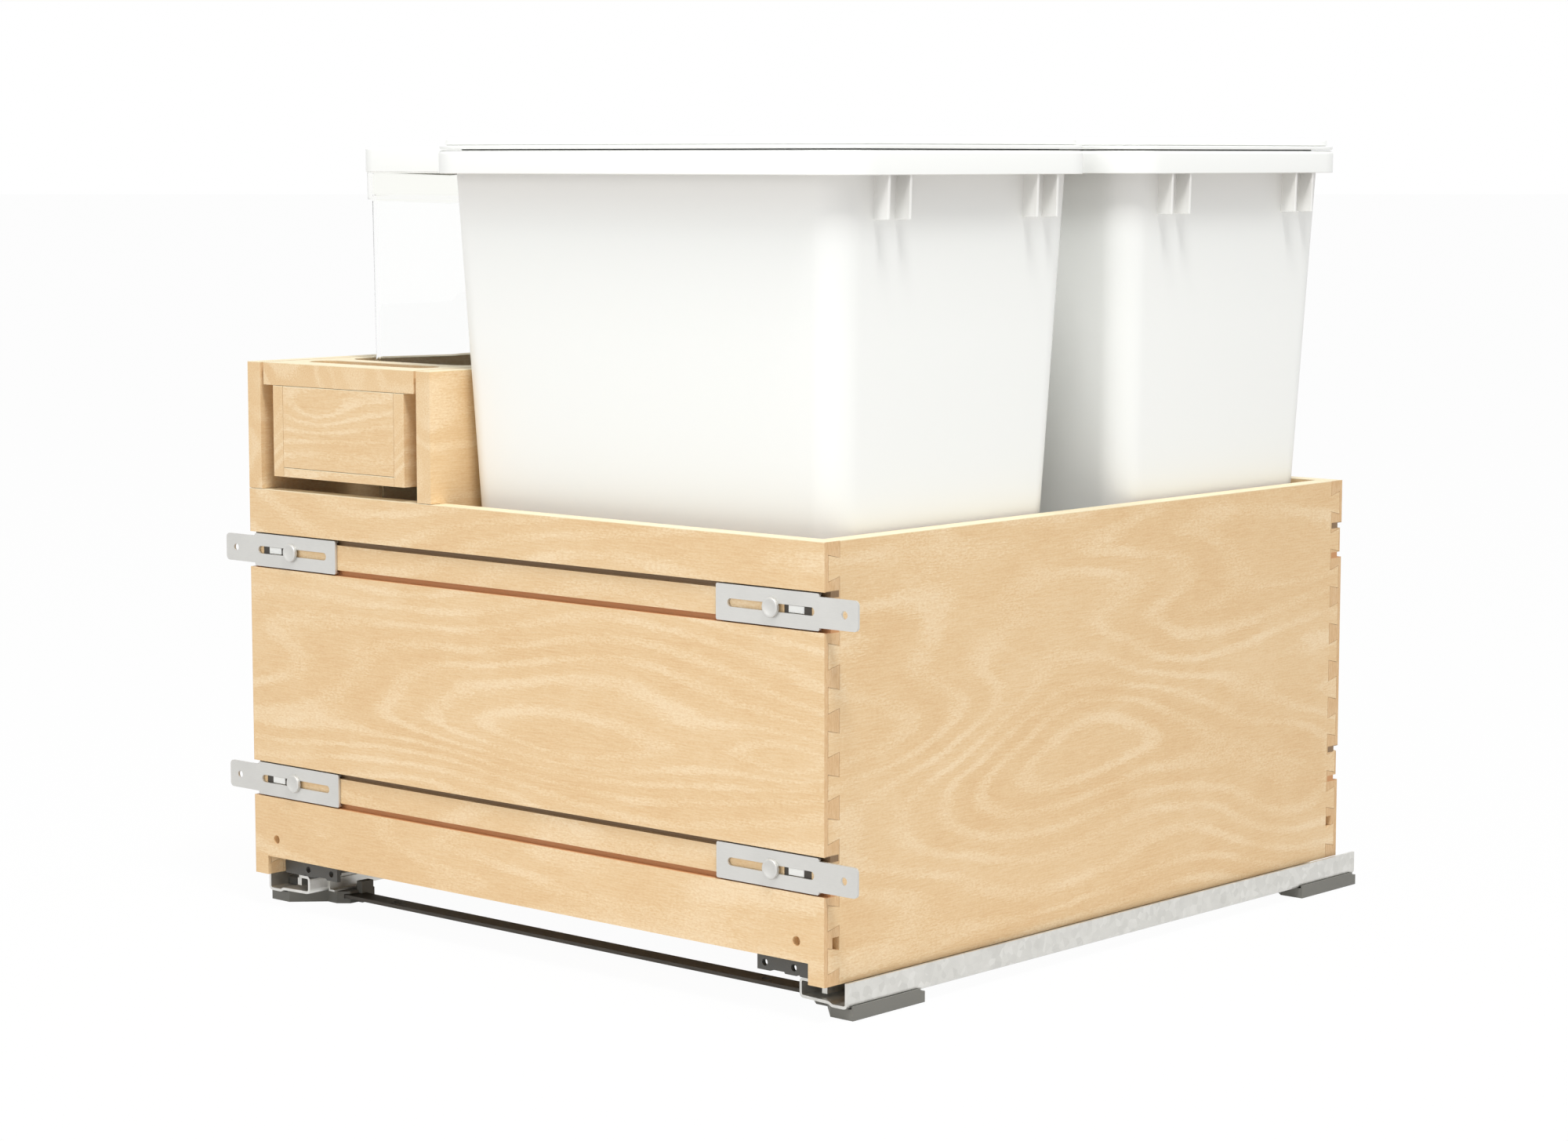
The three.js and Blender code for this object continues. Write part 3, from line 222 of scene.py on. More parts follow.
def build_studio():
    """A pale floor that keeps a trace of shadow, a white surround and two soft lamps."""
    scene = bpy.context.scene
    scene.view_settings.view_transform = "Standard"

    world = bpy.data.worlds.new("studio")
    scene.world = world
    world.use_nodes = True
    tree = world.node_tree
    background = tree.nodes["Background"]
    path = tree.nodes.new("ShaderNodeLightPath")
    seen = tree.nodes.new("ShaderNodeMath")
    seen.operation = "MAXIMUM"
    tree.links.new(path.outputs["Is Camera Ray"], seen.inputs[0])
    more = tree.nodes.new("ShaderNodeMath")
    more.operation = "MAXIMUM"
    tree.links.new(path.outputs["Is Glossy Ray"], more.inputs[0])
    tree.links.new(path.outputs["Is Transmission Ray"], more.inputs[1])
    tree.links.new(more.outputs[0], seen.inputs[1])
    level = tree.nodes.new("ShaderNodeMapRange")
    level.inputs["To Min"].default_value = FILL
    level.inputs["To Max"].default_value = SURROUND
    tree.links.new(seen.outputs[0], level.inputs["Value"])
    tree.links.new(level.outputs[0], background.inputs["Strength"])
    background.inputs["Color"].default_value = (1, 1, 1, 1)

    mesh = bpy.data.meshes.new("floor")
    square = ((-1, -1), (1, -1), (1, 1), (-1, 1))
    points = [(FLOOR_REACH * x, FLOOR_REACH * y, -FLOOR_DROP) for x, y in square]
    mesh.from_pydata(points, [], [(0, 1, 2, 3)])
    floor = bpy.data.objects.new("floor", mesh)
    scene.collection.objects.link(floor)
    pale = Recipe("pale_floor")
    pale.finish(Base_Color=FLOOR_TONE, Roughness=0.9, Specular_IOR_Level=0.0)
    nodes, links = pale.tree.nodes, pale.tree.links
    glow = nodes.new("ShaderNodeEmission")
    glow.inputs["Strength"].default_value = 1.0
    path = nodes.new("ShaderNodeLightPath")
    either = pale.node("ShaderNodeMath", {"operation": "MAXIMUM"}, {
        0: Signal(pale, path.outputs["Is Camera Ray"]),
        1: pale.node("ShaderNodeMath", {"operation": "MAXIMUM"}, {
            0: Signal(pale, path.outputs["Is Glossy Ray"]),
            1: Signal(pale, path.outputs["Is Transmission Ray"])})})
    share = either * FLOOR_GLOW
    blend = nodes.new("ShaderNodeMixShader")
    links.new(share.socket, blend.inputs[0])
    links.new(pale.shader.outputs[0], blend.inputs[1])
    links.new(glow.outputs[0], blend.inputs[2])
    links.new(blend.outputs[0], nodes["Material Output"].inputs["Surface"])
    mesh.materials.append(pale.material)

    for name, place, target, side, power in LAMPS:
        data = bpy.data.lights.new(name, "AREA")
        data.shape, data.size, data.size_y, data.energy = "RECTANGLE", side, side, power
        lamp = bpy.data.objects.new(name, data)
        aim = Vector(target) - Vector(place)
        turn = aim.to_track_quat("-Z", "Y").to_matrix().to_4x4()
        lamp.matrix_world = Matrix.Translation(place) @ turn
        scene.collection.objects.link(lamp)


build_studio()


# ---------------------------------------------------------------- finishes


BIRCH_DARK, BIRCH_MID, BIRCH_LIGHT = srgb(223, 184, 135), srgb(233, 201, 155), srgb(245, 221, 184)
# the second colour is painted light: a board's top edge face made paler, as lit from above
BIRCH_PORE, TOP_PAINTED_LIGHT = srgb(186, 138, 90), srgb(246, 237, 205)
END_DARK, END_LIGHT = srgb(204, 160, 110), srgb(226, 190, 145)
# painted light in the bracket tracks' channels: warm bounce light below, shadow above
PAINTED_BOUNCE_LOW, PAINTED_SHADOW_HIGH = srgb(200, 140, 90), srgb(116, 90, 64)
TRACK_HEIGHT, CHANNEL_WIDTH = 0.0235, 0.0036     # of the bracket tracks, as they are cut
EDGE = (0.0002, 0.0006)         # a finish on an edge face begins and ends this far from it


def birch(node, turn, seed, eyes):
    """Peeled birch under a clear coat: cream growth bands round a few eyes, and short fibres.

    The figure is a height over the face, made of a soft hump at each eye plus slow noise, and the
    bands are its contour lines. Along the grain everything is stretched. turn brings the grain to X
    and the face to XY. The top edge face is painted paler, as painted light from above.
    """
    wood = Recipe(f"birch_{node}")
    grain = wood.place(turn, middle(node))
    along, across, _ = wood.axes(grain)
    slow = wood.noise(wood.stretch(grain, (0.6, 3.4, 3.4)), 2.6 + 0.3 * (seed % 3), 1, 0.5, 0.1)
    small = wood.noise(wood.stretch(grain, (0.7, 3.4, 3.4)), 16 + seed % 4, 2, 0.5)
    height = slow * 0.9 + small * 0.045
    for where, up, long, wide, lift in eyes:
        hump = ((along - where) / long) ** 2 + ((across - up) / wide) ** 2
        height = height + lift / (1 + hump)
    fibres = wood.noise(wood.stretch(grain, (1, 16, 16)), 85, 3, 0.6)
    teeth = wood.noise(wood.stretch(grain, (1, 6, 6)), 210, 2, 0.6)
    phase = height * 96 + (teeth - 0.5) * 4.5
    bands = wood.band(phase.sine(), -0.1, 0.95)
    patch = wood.noise(wood.stretch(grain, (1, 1.8, 1.8)), 9 + seed % 3, 1, 0.5)
    strength = wood.band(patch, 0.38, 0.64, 0.12, 0.34)
    coarse = (height * 21 + 1.7 * seed).sine() * 0.5 + 0.5
    mottle = wood.noise(wood.stretch(grain, (1, 1.6, 1.6)), 22 + seed % 5, 4, 0.62)
    fleck = wood.noise(wood.stretch(grain, (1, 2.2, 2.2)), 420, 3, 0.65)
    value = (bands * strength + coarse * 0.1 + (mottle - 0.5) * 0.45 + (fibres - 0.5) * 0.85
             + (fleck - 0.5) * 1.3 * (bands * 0.6 + 0.5) + 0.34)
    color = wood.ramp(value, (0.05, BIRCH_DARK), (0.42, BIRCH_MID), (0.95, BIRCH_LIGHT))
    pores = wood.band(fibres, 0.64, 0.78)
    color = wood.mix(pores * 0.22, color, BIRCH_PORE)
    here_x, here_y, here_z = wood.axes(wood.place())
    low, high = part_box(node)
    # painted light: the top edge face made paler, as lit from above
    painted_top_light = wood.band(here_z, high[2] - 0.0005, high[2] - 0.0002)
    color = wood.mix(painted_top_light * 0.7, color, TOP_PAINTED_LIGHT)
    if node in ("front_panel", "back_panel"):
        color = tint_end_board(wood, color, (here_x, here_y, here_z), low, high)
    grit = fibres * 0.6 + fleck * 0.4
    return wood.finish(Base_Color=color, Roughness=0.5 + (grit - 0.5) * 0.16,
                       Normal=wood.bump(grit, 0.25, 0.0004), Specular_IOR_Level=0.35)


def tint_end_board(wood, color, here, low, high):
    """End grain browner than the face, and painted light in the channels above and below in each
    bracket track:
    the upper one dark as painted shadow, the lower one orange as painted warm bounce light."""
    x, y, z = here
    end = wood.band(x.size(), high[0] - EDGE[1], high[0] - EDGE[0])
    rays = wood.noise(wood.stretch(wood.place(), (6, 6, 1)), 160, 3, 0.6)
    color = wood.mix(end * 0.7, color, wood.ramp(rays, (0.3, END_DARK), (0.7, END_LIGHT)))
    outer = (y - (low[1] + high[1]) / 2).size()
    face = (high[1] - low[1]) / 2
    deep = 1 - wood.band(outer, face - 0.0008, face - 0.0002)
    half = TRACK_HEIGHT / 2
    for level in ("lower", "upper"):
        bracket_low, bracket_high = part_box(f"door_bracket_{level}_left")
        off = z - (bracket_low[2] + bracket_high[2]) / 2
        starts = half - CHANNEL_WIDTH
        channel = wood.band(off.size(), starts - 0.0002, starts + 0.0002)
        channel = channel * (1 - wood.band(off.size(), half + EDGE[0], half + EDGE[1])) * deep
        # painted shadow in the upper channel and painted warm bounce light in the lower one
        painted_channel_light = wood.mix(wood.band(off, -0.001, 0.001), PAINTED_BOUNCE_LOW, PAINTED_SHADOW_HIGH)
        color = wood.mix(channel * 0.85, color, painted_channel_light)
    return color


def galvanised():
    """Hot-dipped sheet: blurred crystal patches that differ a little in brightness and gloss."""
    steel = Recipe("galvanised_sheet")
    here = steel.place()
    crystals = steel.node("ShaderNodeTexVoronoi", {"feature": "F1"},
                          {"Vector": here, "Scale": 210}, out=1)
    shade = steel.node("ShaderNodeRGBToBW", None, {0: crystals})
    cloud = steel.noise(here, 60, 4, 0.6)
    mix = shade * 0.45 + cloud * 0.55
    color = steel.ramp(mix, (0.2, srgb(207, 206, 201)), (0.55, srgb(221, 220, 215)),
                       (0.85, srgb(233, 232, 228)))
    return steel.finish(Base_Color=color, Metallic=0.85, Roughness=0.36 + mix * 0.14)


def plated():
    """Zinc-plated bracket stamping: flat grey with the faintest rolling marks."""
    steel = Recipe("zinc_plate")
    here = steel.place()
    marks = steel.noise(steel.stretch(here, (1, 1, 9)), 240, 2, 0.5)
    cloud = steel.noise(here, 45, 3, 0.5)
    mix = marks * 0.4 + cloud * 0.6
    color = steel.ramp(mix, (0.25, srgb(207, 206, 202)), (0.75, srgb(217, 216, 212)))
    return steel.finish(Base_Color=color, Metallic=0.7, Roughness=0.42 + mix * 0.1,
                        Normal=steel.bump(marks, 0.06, 0.0002))


GRAIN_GLOSS, GRAIN_BUMP = 0.12, (0.12, 0.0002)
BIN_WHITE, BIN_PAINTED_SHADE = srgb(251, 252, 249), srgb(234, 232, 228)
BIN_SKIRT, PAINTED_SHADE_DEPTH = 0.0145, 0.042           # the rim's skirt, and the depth of the painted shade below it


def moulded(name, color, rough, grain=900.0, shade=0.06):
    """Moulded plastic: a fine spark-eroded grain and slight, slow changes of tone."""
    plastic = Recipe(name)
    here = plastic.place()
    grit = plastic.noise(here, grain, 2, 0.5)
    slow = plastic.noise(here, 22, 2, 0.5)
    darker = tuple(c * (1 - shade) for c in color)
    return plastic.finish(Base_Color=plastic.mix(slow, darker, color),
                          Roughness=rough + (grit - 0.5) * GRAIN_GLOSS,
                          Normal=plastic.bump(grit, *GRAIN_BUMP))


def bin_plastic():
    """White moulding, with painted shade: a little greyer for a short way under the rim, in place
    of the rim's shadow.
    """
    plastic = Recipe("bin_moulding")
    here = plastic.place()
    grit = plastic.noise(here, 700, 2, 0.5)
    up = plastic.axes(here)[2]
    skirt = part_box("front_bin")[1][2] - BIN_SKIRT
    # painted shade: a greyer band on the wall under the rim's skirt, in place of the rim's shadow
    under = plastic.band(up, skirt - PAINTED_SHADE_DEPTH, skirt)
    under = under * (1 - plastic.band(up, skirt, skirt + 0.0008))
    return plastic.finish(Base_Color=plastic.mix(under, BIN_WHITE, BIN_PAINTED_SHADE),
                          Roughness=0.38 + (grit - 0.5) * GRAIN_GLOSS,
                          Normal=plastic.bump(grit, *GRAIN_BUMP))


def coated_bar():
    """Brown-black coated flat bar, a little rubbed."""
    bar = Recipe("coated_bar")
    here = bar.place()
    rub = bar.noise(bar.stretch(here, (1, 6, 6)), 60, 4, 0.6)
    color = bar.ramp(rub, (0.3, srgb(62, 57, 50)), (0.75, srgb(84, 78, 69)))
    return bar.finish(Base_Color=color, Metallic=0.35, Roughness=0.38 + rub * 0.16)


CLEAR_WALL, CLEAR_COLLAR, COLLAR_FOOT = (0.996, 0.998, 0.994), (0.985, 0.986, 0.962), 0.4700


def clear_plastic():
    """Clear moulded plastic, faintly yellow-green and frosted in its collar."""
    clear = Recipe("clear_wall")
    up = clear.axes(clear.place())[2]
    collar = clear.band(up, COLLAR_FOOT, COLLAR_FOOT + 0.0015)
    return clear.finish(Base_Color=clear.mix(collar, CLEAR_WALL, CLEAR_COLLAR),
                        Roughness=0.01 + collar * 0.06, IOR=1.07, Transmission_Weight=1.0)


WHITE = moulded("white_moulding", BIN_WHITE, 0.38, 700, 0.01)
BIN = bin_plastic()
DARK = moulded("dark_moulding", srgb(84, 84, 81), 0.5)
FOOT = moulded("foot_moulding", srgb(122, 121, 115), 0.62)
BAR = coated_bar()
GALVANISED = galvanised()
PLATED = plated()
CLEAR = clear_plastic()
CARRIER = moulded("carrier_moulding", srgb(64, 58, 50), 0.5)
FINISH_OF_SLOT = {"galvanised": GALVANISED, "plated": PLATED, "dark_plastic": DARK,
                  "foot_plastic": FOOT, "bar_steel": BAR, "white_plastic": WHITE,
                  "clear_plastic": CLEAR}

TO_X = (0, 0, 0)                            # a face in XY, grain along X
TO_Y = (0, 0, math.pi / 2)                  # a face in XY, grain along Y
FACE_FRONT = (math.pi / 2, 0, 0)            # a face in XZ, grain along X
FACE_SIDE = (0, math.pi / 2, math.pi / 2)   # a face in YZ, grain along Y

# Each board's cut of birch: the turn of its figure, a seed, and its eyes, each of which is a place
# along and across the board from its middle, a length, a width and a height, in metres.
CUTS = {
    "front_panel": (FACE_FRONT, 1, ((0.04, 0.012, 0.2, 0.03, 0.5),
                                    (0.235, 0.0, 0.07, 0.02, 0.34))),
    "back_panel": (FACE_FRONT, 2, ((-0.05, 0.02, 0.2, 0.05, 0.3),)),
    "left_side_panel": (FACE_SIDE, 3, ((0.05, 0.03, 0.2, 0.06, 0.3),)),
    "right_side_panel": (FACE_SIDE, 4, ((0.02, 0.01, 0.12, 0.05, 0.34),
                                        (-0.2, -0.09, 0.1, 0.05, 0.26))),
    "bay_divider": (FACE_SIDE, 5, ((-0.1, 0.03, 0.2, 0.06, 0.3),)),
    "bottom_panel": (TO_X, 6, ((0.0, 0.0, 0.2, 0.08, 0.3),)),
    "bay_deck": (TO_Y, 7, ((0.0, 0.0, 0.2, 0.04, 0.2),)),
    "caddy_front": (FACE_FRONT, 8, ((-0.02, -0.012, 0.03, 0.012, 0.12),)),
    "caddy_back": (FACE_FRONT, 9, ()),
    "caddy_left_side": (FACE_SIDE, 10, ()),
    "caddy_right_side": (FACE_SIDE, 11, ()),
    "caddy_floor": (TO_X, 12, ()),
    "deck_cleat_left": (FACE_SIDE, 13, ()),
    "deck_cleat_right": (FACE_SIDE, 14, ()),
}


def middle(node):
    """The centre of a node's box, in metres."""
    low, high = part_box(node)
    return tuple((low + high) / 2)


def dress(node, material):
    """Puts a material in every slot of a node."""
    for slot in frame["nodes"][node].material_slots:
        slot.material = material


for board, cut in CUTS.items():
    dress(board, birch(board, *cut))
for part in frame["record"]["subparts"]:
    if part["material_slot"] in FINISH_OF_SLOT:
        dress(part["node"], FINISH_OF_SLOT[part["material_slot"]])


# ---------------------------------------------------------------- surfaces

SHARP = math.radians(35)        # edges that turn by more than this stay crisp


def piece(name, shape, material, body, slot, *stands_for):
    """A mesh of a skin's points in millimetres, riding on a body and standing for some nodes."""
    points, faces = shape
    mesh = bpy.data.meshes.new(name)
    mesh.from_pydata((np.asarray(points, float) * MM).tolist(), [], faces)
    mesh.validate()
    mesh.polygons.foreach_set("use_smooth", [True] * len(mesh.polygons))
    mesh.set_sharp_from_angle(angle=SHARP)
    mesh.materials.append(material)
    made = bpy.data.objects.new(name, mesh)
    bpy.context.scene.collection.objects.link(made)
    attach(made, body)
    if stands_for:
        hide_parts(*stands_for)


def skin(rings):
    """Quads between rings of points, each ring closed on itself, and a lid on the two end rings:
    point j of ring i joins point j + 1 of that ring and both points of ring i + 1."""
    rings = np.asarray(rings, float)
    rows, count = rings.shape[:2]
    index = np.arange(rows * count).reshape(rows, count)
    after = np.roll(index, -1, axis=1)
    quads = np.stack([index[:-1], after[:-1], after[1:], index[1:]], axis=-1).reshape(-1, 4)
    lids = [index[0][::-1].tolist(), index[-1].tolist()]
    return rings.reshape(-1, 3), quads.tolist() + lids


def merge(*parts):
    """Several skins as one: each one's faces count on from the points before it."""
    points, faces, start = [], [], 0
    for some_points, some_faces in parts:
        points.append(some_points)
        faces += [[i + start for i in face] for face in some_faces]
        start += len(some_points)
    return np.concatenate(points), faces


def round_rectangles(stations, centre, corner=10):
    """One ring per station (half length, half width, corner radius, height): each corner is a
    quarter circle about a point one radius in from both sides."""
    table = np.array(stations, float)
    long, wide, radius, height = (table[:, i, None] for i in range(4))
    angle = np.concatenate([np.linspace(k, k + 1, corner + 1) for k in range(4)]) * np.pi / 2
    turn_x = np.repeat([1, -1, -1, 1], corner + 1)
    turn_y = np.repeat([1, 1, -1, -1], corner + 1)
    x = centre[0] + turn_x * (long - radius) + radius * np.cos(angle)
    y = centre[1] + turn_y * (wide - radius) + radius * np.sin(angle)
    return np.stack([x, y, np.broadcast_to(height + centre[2], x.shape)], axis=-1)


def arc(centre, radius, start, end, steps):
    """Points (out, up) on a circle from one angle to another in degrees: the centre plus the
    radius times the cosine outward and times the sine upward."""
    angle = np.radians(np.linspace(start, end, steps + 1))
    return list(zip(centre[0] + radius * np.cos(angle), centre[1] + radius * np.sin(angle)))


BLOCK_EASE, BLOCK_CORNER = 0.25, 0.2


def eased_block(x0, x1, y0, y1, bottom, top):
    """A block from bottom to top: three rectangles, the last drawn in by the ease."""
    centre = ((x0 + x1) / 2, (y0 + y1) / 2, 0)
    long, wide = (x1 - x0) / 2, (y1 - y0) / 2
    stations = [(long, wide, BLOCK_CORNER, bottom), (long, wide, BLOCK_CORNER, top - BLOCK_EASE),
                (long - BLOCK_EASE, wide - BLOCK_EASE, BLOCK_CORNER, top)]
    return skin(round_rectangles(stations, centre, 2))


def facing_front(shape):
    """Turns a skin built upward so that its top faces the front: (x, y, z) goes to (x, -z, y)."""
    points, faces = shape
    return points[:, [0, 2, 1]] * (1, -1, 1), faces


# ---------------------------------------------------------------- bins and canister

RIM_OUT, RIM_SKIRT, RIM_WALL = 11.3, 14.5, 1.8
BIN_DRAFT, BIN_CORNER, BIN_WALL, BIN_FOOT = 0.0458, 20, 2.2, 6
FIN_SPREAD, FIN_PAIR, FIN_THICK, FIN_HEIGHT, FIN_EASE = 69.3, 19.2, 2.0, 25.6, 0.35
RING_STEPS = 14                 # of each round corner


def box_mm(node):
    """The lowest and highest corners of a node at rest, in millimetres."""
    low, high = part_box(node)
    return np.array(low) / MM, np.array(high) / MM


def build_bin(node):
    """The bin's section is walked from the middle of its foot, up the outside, round the rim and
    its skirt, and down the inside; each point of it is an offset from the drafted wall."""
    low, high = box_mm(node)
    centre = ((low[0] + high[0]) / 2, (low[1] + high[1]) / 2, low[2])
    rim_x, rim_y = (high[0] - low[0]) / 2, (high[1] - low[1]) / 2
    height = high[2] - low[2]
    skirt = height - RIM_SKIRT
    wall_x, wall_y = rim_x - RIM_OUT, rim_y - RIM_OUT

    def wall(z, inset):
        draft = BIN_DRAFT * (z - skirt) - inset
        return (wall_x + draft, wall_y + draft, max(BIN_CORNER - inset * 0.8, 4), z)

    def rim(out, z):
        return (wall_x + out, wall_y + out, BIN_CORNER + out, z)

    stations = [wall(0, 9)]
    stations += [wall(z, BIN_FOOT - o) for o, z in arc((0, BIN_FOOT), BIN_FOOT, -90, 0, 6)]
    stations += [wall(height * s, 0) for s in (0.25, 0.5, 0.75)]
    under, lip = height - RIM_WALL, RIM_OUT - RIM_WALL
    stations += [wall(under - 3, 0), wall(under - 1, -0.5), wall(under, -2)]
    stations += [rim(lip - 0.8, under), rim(lip, under - 1), rim(lip, skirt + 0.4)]
    stations += [rim(lip + 0.4, skirt), rim(RIM_OUT - 0.4, skirt), rim(RIM_OUT, skirt + 0.4)]
    stations += [rim(RIM_OUT - 2.4 + o, height - 2.4 + z) for o, z in arc((0, 0), 2.4, 0, 90, 5)]
    stations += [wall(height - z, BIN_WALL - 1 + o) for o, z in ((0, 0), (0.7, 0.3), (1, 1))]
    stations += [wall(height * s, BIN_WALL) for s in (0.75, 0.5, 0.25)]
    stations += [wall(BIN_WALL + z, BIN_WALL + o) for z, o in ((7, 0), (3, 1), (0.6, 3.6), (0, 7))]
    parts = [skin(round_rectangles(stations, centre, RING_STEPS))]

    tip = wall_x + RIM_OUT - 0.3
    outline = (wall_x - BIN_DRAFT * (FIN_HEIGHT + RIM_SKIRT) - BIN_WALL / 2,
               tip - BIN_DRAFT * FIN_HEIGHT, tip)
    heights = (centre[2] + skirt - FIN_HEIGHT, centre[2] + height - RIM_WALL / 2)
    for end, flank, mate in itertools.product((-1, 1), repeat=3):
        y = centre[1] + flank * FIN_SPREAD + mate * FIN_PAIR / 2
        parts.append(fin(centre[0], y, end, outline, heights))
    piece(f"{node}_moulding", merge(*parts), BIN, node, "white_plastic", node)


def fin(x, y, end, outline, heights):
    """One stiffening fin on the wall at an end: a thin plate of three rings, whose outer edge
    leans out from foot to tip with the draft. Its edges are eased."""
    (root, foot, tip), (bottom, top), ease = outline, heights, FIN_EASE
    rows = []
    for z, out in ((bottom, foot), (bottom + ease, foot + ease * 0.2), (top, tip)):
        inset = ease if z == bottom else 0.0
        half = FIN_THICK / 2 - inset
        edge = out - inset
        corners = [(root, -half), (edge - ease, -half), (edge, -half + ease), (edge, half - ease),
                   (edge - ease, half), (root, half)]
        rows.append([(x + end * a, y + b * end, z) for a, b in corners])
    return skin(rows)


LID_SKIRT, LID_OVER, LID_SHOULDER, LID_FIELD = 6, 0.4, 2.0, 1.6


def inset_ring(half_x, half_y, corner, least=3):
    """Gives (z, inset) as a station: the half sizes and the corner, all less the inset."""
    return lambda z, inset: (half_x - inset, half_y - inset, max(corner - inset, least), z)


def build_bin_lid(node):
    """A flat edge over the rim, and a raised middle with a rounded shoulder and a sunk field. Each
    station is a rounded rectangle, drawn in from the edge by an inset, at a height."""
    low, high = box_mm(node)
    centre = ((low[0] + high[0]) / 2, (low[1] + high[1]) / 2, low[2] + LID_SKIRT)
    edge = inset_ring((high[0] - low[0]) / 2 + LID_OVER, (high[1] - low[1]) / 2 + LID_OVER,
                      BIN_CORNER + RIM_OUT)
    mouth, top = RIM_OUT + BIN_WALL + 1, 6.8
    stations = [edge(1.4, mouth + 3), edge(-LID_SKIRT, mouth + 2.6), edge(-LID_SKIRT, mouth + 0.8)]
    stations += [edge(0, mouth), edge(0, 0.9), edge(0.5, 0.4), edge(1.7, 0.4), edge(2.2, 0.9)]
    stations += [edge(2.2, 5.2), edge(2.8, 5.2), edge(2.8, 4.2), edge(3.0, 4.0)]
    stations += [edge(top - LID_SHOULDER + z, 4.4 + LID_SHOULDER - o)
                 for o, z in arc((0, 0), LID_SHOULDER, 0, 90, 5)]
    stations += [edge(top, 15), edge(top - 0.3, 15.7)]
    stations += [edge(top - LID_FIELD, 17.4), edge(top - LID_FIELD, 40)]
    shape = skin(round_rectangles(stations, centre, RING_STEPS))
    piece(f"{node}_moulding", shape, WHITE, node, "white_plastic", node)


CAN_HEIGHT, CAN_HALF_X, CAN_HALF_Y, CAN_CORNER = 452.0, 50.5, 120.0, 15
CAN_DRAFT, CAN_FOOT, CAN_WALL = 0.008, 5, 2.6
LID_ABOVE, LID_DEPTH, COLLAR_HEIGHT, COLLAR_OUT = 2.4, 16, 18, 3.1
CAN_LID_CORNER, CAN_LID_WALL, CAN_LID_ROUND, CAN_LID_ROOF = 18.7, 1.8, 1.6, 2.4


def build_canister():
    """A tall, nearly straight tub: a rounded foot, and a collar folded out flush with its lid. Its
    half sizes shrink downward by the draft times the distance from the top."""
    low, high = box_mm("canister")
    height = CAN_HEIGHT
    centre = ((low[0] + high[0]) / 2, (low[1] + high[1]) / 2, low[2])

    def wall(z, inset):
        draft = CAN_DRAFT * (z - height) - inset
        return (CAN_HALF_X + draft, CAN_HALF_Y + draft, max(CAN_CORNER - inset, 3), z)

    top = height + LID_ABOVE - LID_DEPTH
    foot = top - COLLAR_HEIGHT
    stations = [wall(0, CAN_FOOT + 3)]
    stations += [wall(z, CAN_FOOT - o) for o, z in arc((0, CAN_FOOT), CAN_FOOT, -90, 0, 5)]
    stations += [wall(height * 0.5, 0), wall(foot - 1, 0), wall(foot, -0.6)]
    stations += [wall(foot, 0.4 - COLLAR_OUT), wall(foot + 0.4, -COLLAR_OUT)]
    stations += [wall(top - 0.4, -COLLAR_OUT), wall(top, 0.4 - COLLAR_OUT)]
    stations += [wall(top, -1.4), wall(top + 0.4, -1), wall(height - 0.5, -1), wall(height, -0.5)]
    stations += [wall(height, 1.2), wall(height - 0.4, 1.6), wall(top + 0.8, 1.6)]
    stations += [wall(top - 1.8, 0.4), wall(foot + 3.5, 0.2), wall(foot + 0.5, CAN_WALL)]
    stations += [wall(height * 0.5, CAN_WALL), wall(9, CAN_WALL), wall(5, CAN_WALL + 1)]
    stations += [wall(3, 6), wall(CAN_WALL, 10)]
    tub = skin(round_rectangles(stations, centre, 10))
    piece("canister_moulding", tub, CLEAR, "canister", "clear_plastic", "canister")


def build_canister_lid():
    """A cap with a rounded upper edge, hollow below: rounded rectangles from the middle of its
    roof's underside, down the inside of its skirt and up the outside to the middle of the top."""
    low, high = box_mm("canister_lid")
    centre = ((low[0] + high[0]) / 2, (low[1] + high[1]) / 2, low[2])
    edge = inset_ring((high[0] - low[0]) / 2, (high[1] - low[1]) / 2, CAN_LID_CORNER)
    depth = high[2] - low[2]
    stations = [edge(depth - CAN_LID_ROOF, 20), edge(depth - CAN_LID_ROOF, CAN_LID_WALL + 0.6)]
    stations += [edge(depth - CAN_LID_ROOF - 0.6, CAN_LID_WALL), edge(0.4, CAN_LID_WALL)]
    stations += [edge(0, CAN_LID_WALL - 0.4), edge(0, 0.4), edge(0.4, 0)]
    stations += [edge(depth - CAN_LID_ROUND + z, CAN_LID_ROUND - o)
                 for o, z in arc((0, 0), CAN_LID_ROUND, 0, 90, 4)]
    stations += [edge(depth, 20)]
    shape = skin(round_rectangles(stations, centre, 10))
    piece("canister_lid_moulding", shape, WHITE, "canister_lid", "white_plastic", "canister_lid")


# ---------------------------------------------------------------- door bracket hardware

CAM_SHANK_RADIUS, CAM_HEAD_DEPTH, CAM_ROUND, CAM_DISH = 2.1, 2.4, 0.5, 0.12
DOG_SUNK, CARRIER_SUNK = 2.0, 2.3       # how far below the adjuster's CAD front each one stays
POCKET_NEAR, POCKET_FAR = 9.4, 12.0     # from the dog's middle to the pocket's ends
CARRIER_OVER, CARRIER_GAP = 0.7, 0.05   # taller than the dog, and clear of it


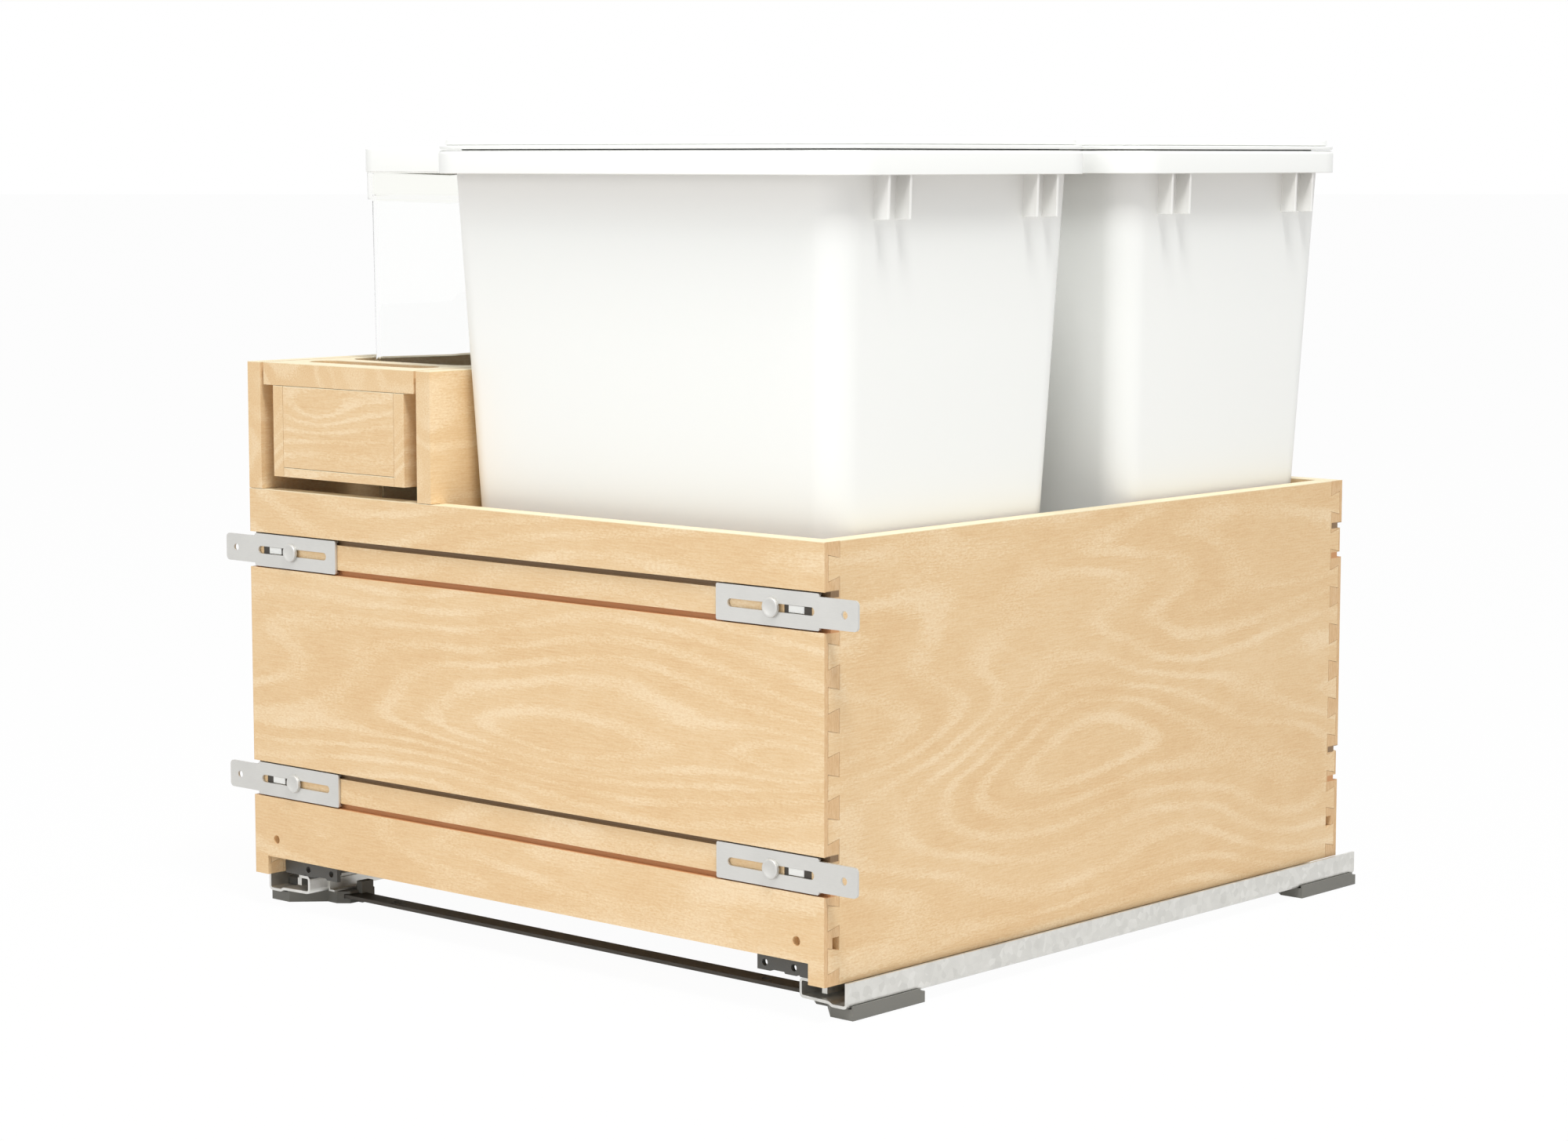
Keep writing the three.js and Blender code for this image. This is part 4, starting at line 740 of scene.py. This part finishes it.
def build_cam(node):
    """A flat round head with a rounded rim on a plain shank: circles about the cam's axis, each
    a rounded rectangle whose corners are all of it."""
    low, high = box_mm(node)
    centre = ((low[0] + high[0]) / 2, (low[2] + high[2]) / 2, 0)
    head, shank = (high[0] - low[0]) / 2, CAM_SHANK_RADIUS
    front, back = -low[1], -high[1]
    seat = front - CAM_HEAD_DEPTH
    profile = [(shank - 0.3, back), (shank, back + 0.3), (shank, seat), (head - 0.3, seat)]
    profile += [(head, seat + 0.3)]
    profile += [(head - CAM_ROUND + o, front - CAM_ROUND + z)
                for o, z in arc((0, 0), CAM_ROUND, 0, 90, 4)]
    profile += [(head - 1.6, front), (head - 1.9, front - CAM_DISH), (0.3, front - CAM_DISH)]
    turned = skin(round_rectangles([(r, r, r, z) for r, z in profile], centre, 9))
    piece(f"{node}_turned", facing_front(turned), PLATED, node, "plated", node)


def build_adjuster(node):
    """The white dog, square at its ends, between two dark blocks that fill up its pocket."""
    low, high = box_mm(node)
    front, back = -low[1], -high[1]
    dog = eased_block(low[0], high[0], low[2], high[2], back, front - DOG_SUNK)
    piece(f"{node}_dog", facing_front(dog), WHITE, "drawer", "white_plastic", node)
    middle_x = (low[0] + high[0]) / 2
    outward = (POCKET_FAR, POCKET_NEAR) if node.endswith("left") else (POCKET_NEAR, POCKET_FAR)
    left, right = middle_x - outward[0], middle_x + outward[1]
    blocks = [eased_block(x0 + CARRIER_GAP, x1 - CARRIER_GAP, low[2] - CARRIER_OVER,
                          high[2] + CARRIER_OVER, back + 1, front - CARRIER_SUNK)
              for x0, x1 in ((left, low[0]), (high[0], right))]
    piece(f"{node}_carrier", facing_front(merge(*blocks)), CARRIER, "drawer", "dark_plastic")


for which in ("front", "rear"):
    build_bin(f"{which}_bin")
    build_bin_lid(f"{which}_bin_lid")
for side, height in itertools.product(("left", "right"), ("lower", "upper")):
    build_cam(f"cam_screw_{height}_{side}")
    build_adjuster(f"adjuster_{height}_{side}")
build_canister()
build_canister_lid()


# ---------------------------------------------------------------- sizes


def corners(box):
    return [[float(v) for v in corner] for corner in box]
